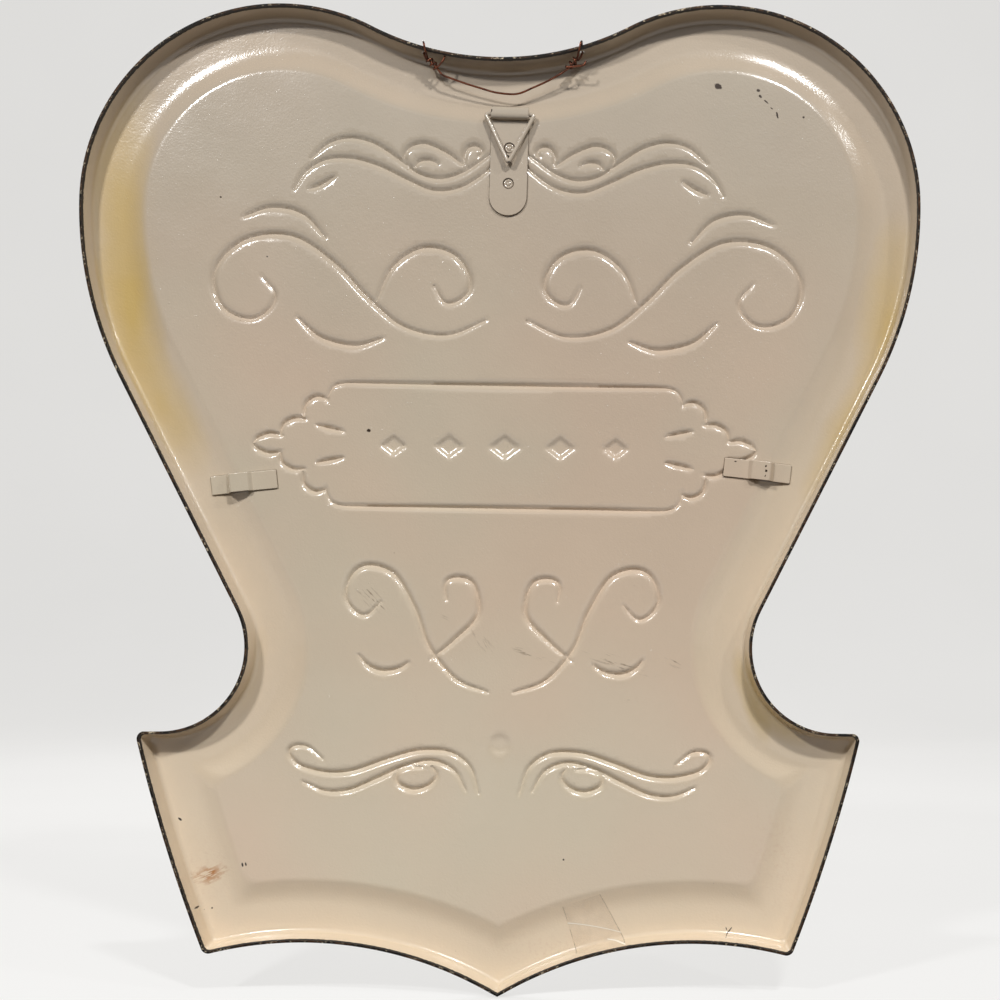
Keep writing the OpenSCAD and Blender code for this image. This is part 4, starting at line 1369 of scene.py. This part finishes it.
class SIGN_OT_stage(bpy.types.Operator):
    """Add the pale floor, the backdrop and the soft lights"""

    bl_idname = "sign.stage"
    bl_label = "Stage"

    def execute(self, context):
        stage = context.scene.sign_stage
        floor = self.sweep()
        floor.data.materials.append(self.paint(stage))
        for name, (setting, position, size) in LAMPS.items():
            data = bpy.data.lights.new(name, "AREA")
            data.shape = "RECTANGLE"
            data.size, data.size_y = size
            data.energy = getattr(stage, setting)
            lamp = linked(name, data)
            lamp.location = position
            lamp.rotation_euler = (Vector(LAMP_AIM) - Vector(position)).to_track_quat("-Z", "Y").to_euler()
        world = bpy.data.worlds.new("studio")
        world.use_nodes = True
        background = world.node_tree.nodes["Background"].inputs
        seen = world.node_tree.nodes.new("ShaderNodeLightPath").outputs["Is Camera Ray"]
        feed(background["Color"], mix(seen, SKY, tuple(stage.floor)))
        feed(background["Strength"], remap(seen, 0, 1, SKY_LIGHT, SKY_SEEN))
        context.scene.world = world
        context.scene.view_settings.view_transform = "Standard"
        return {"FINISHED"}

    @staticmethod
    def paint(stage):
        """Pale for whatever looks at it, but casting only a little light back onto the sign."""
        made, shader, at = material("stage_paint")
        path = at.id_data.nodes.new("ShaderNodeLightPath").outputs
        seen = larger(larger(path["Is Camera Ray"], path["Is Glossy Ray"]), path["Is Transmission Ray"])
        values = {
            "Base Color": mix(seen, STAGE_DARK, STAGE_SEEN),
            "Emission Color": mix(noise(at, 3), tuple(stage.floor), STAGE_CLOUD),
            "Emission Strength": times(seen, stage.glow),
            "Roughness": 0.9,
        }
        for name, value in values.items():
            feed(shader[name], value)
        return made

    @staticmethod
    def sweep():
        """Floor that curves up into a backdrop behind the sign."""
        ground = BOTTOM_Z - FLOOR_GAP * MM
        profile = [(SWEEP_WIDE, ground), (SWEEP_FOOT, ground)]
        profile += arc((SWEEP_FOOT, ground + SWEEP_BEND), SWEEP_BEND, 270, 180, 24)[1:]
        profile.append((SWEEP_FOOT - SWEEP_BEND, ground + SWEEP_WIDE))
        vertices = [(x, y, z) for y, z in profile for x in (-SWEEP_WIDE, SWEEP_WIDE)]
        faces = [(2 * i, 2 * i + 1, 2 * i + 3, 2 * i + 2) for i in range(len(profile) - 1)]
        floor = new_object("stage_sweep", vertices, faces)
        smooth(floor, 60)
        return floor


class SIGN_PT_sidebar(bpy.types.Panel):
    """Sidebar panel that lists the steps"""

    bl_idname = "SIGN_PT_sidebar"
    bl_label = "Wall Sign"
    bl_space_type = "VIEW_3D"
    bl_region_type = "UI"
    bl_category = "Wall Sign"

    def draw(self, context):
        scene = context.scene
        for settings in (scene.sign_sheet, scene.sign_fittings, scene.sign_paint, scene.sign_stage):
            box = self.layout.box()
            for name in settings.__annotations__:
                box.prop(settings, name)
        for operator in OPERATORS:
            self.layout.operator(operator.bl_idname)


SETTINGS = {
    "sign_sheet": SheetSettings,
    "sign_fittings": FittingSettings,
    "sign_paint": PaintSettings,
    "sign_stage": StageSettings,
}
OPERATORS = [SIGN_OT_camera, SIGN_OT_wire, SIGN_OT_panel, SIGN_OT_strap, SIGN_OT_welds, SIGN_OT_ring,
             SIGN_OT_keepers, SIGN_OT_tape, SIGN_OT_stage]


def register():
    """Registers the classes and their settings."""
    for cls in [*SETTINGS.values(), *OPERATORS, SIGN_PT_sidebar]:
        bpy.utils.register_class(cls)
    for name, cls in SETTINGS.items():
        setattr(bpy.types.Scene, name, PointerProperty(type=cls))


def unregister():
    """Takes the classes and their settings out again."""
    for name in SETTINGS:
        delattr(bpy.types.Scene, name)
    for cls in reversed([*SETTINGS.values(), *OPERATORS, SIGN_PT_sidebar]):
        bpy.utils.unregister_class(cls)


def main():
    """Builds the whole scene round the frame."""
    register()
    bpy.ops.sign.camera()
    bpy.ops.sign.wire()
    bpy.ops.sign.panel()
    bpy.ops.sign.strap()
    bpy.ops.sign.welds()
    bpy.ops.sign.ring()
    bpy.ops.sign.keepers()
    bpy.ops.sign.tape()
    bpy.ops.sign.stage()


if __name__ == "__main__":
    main()
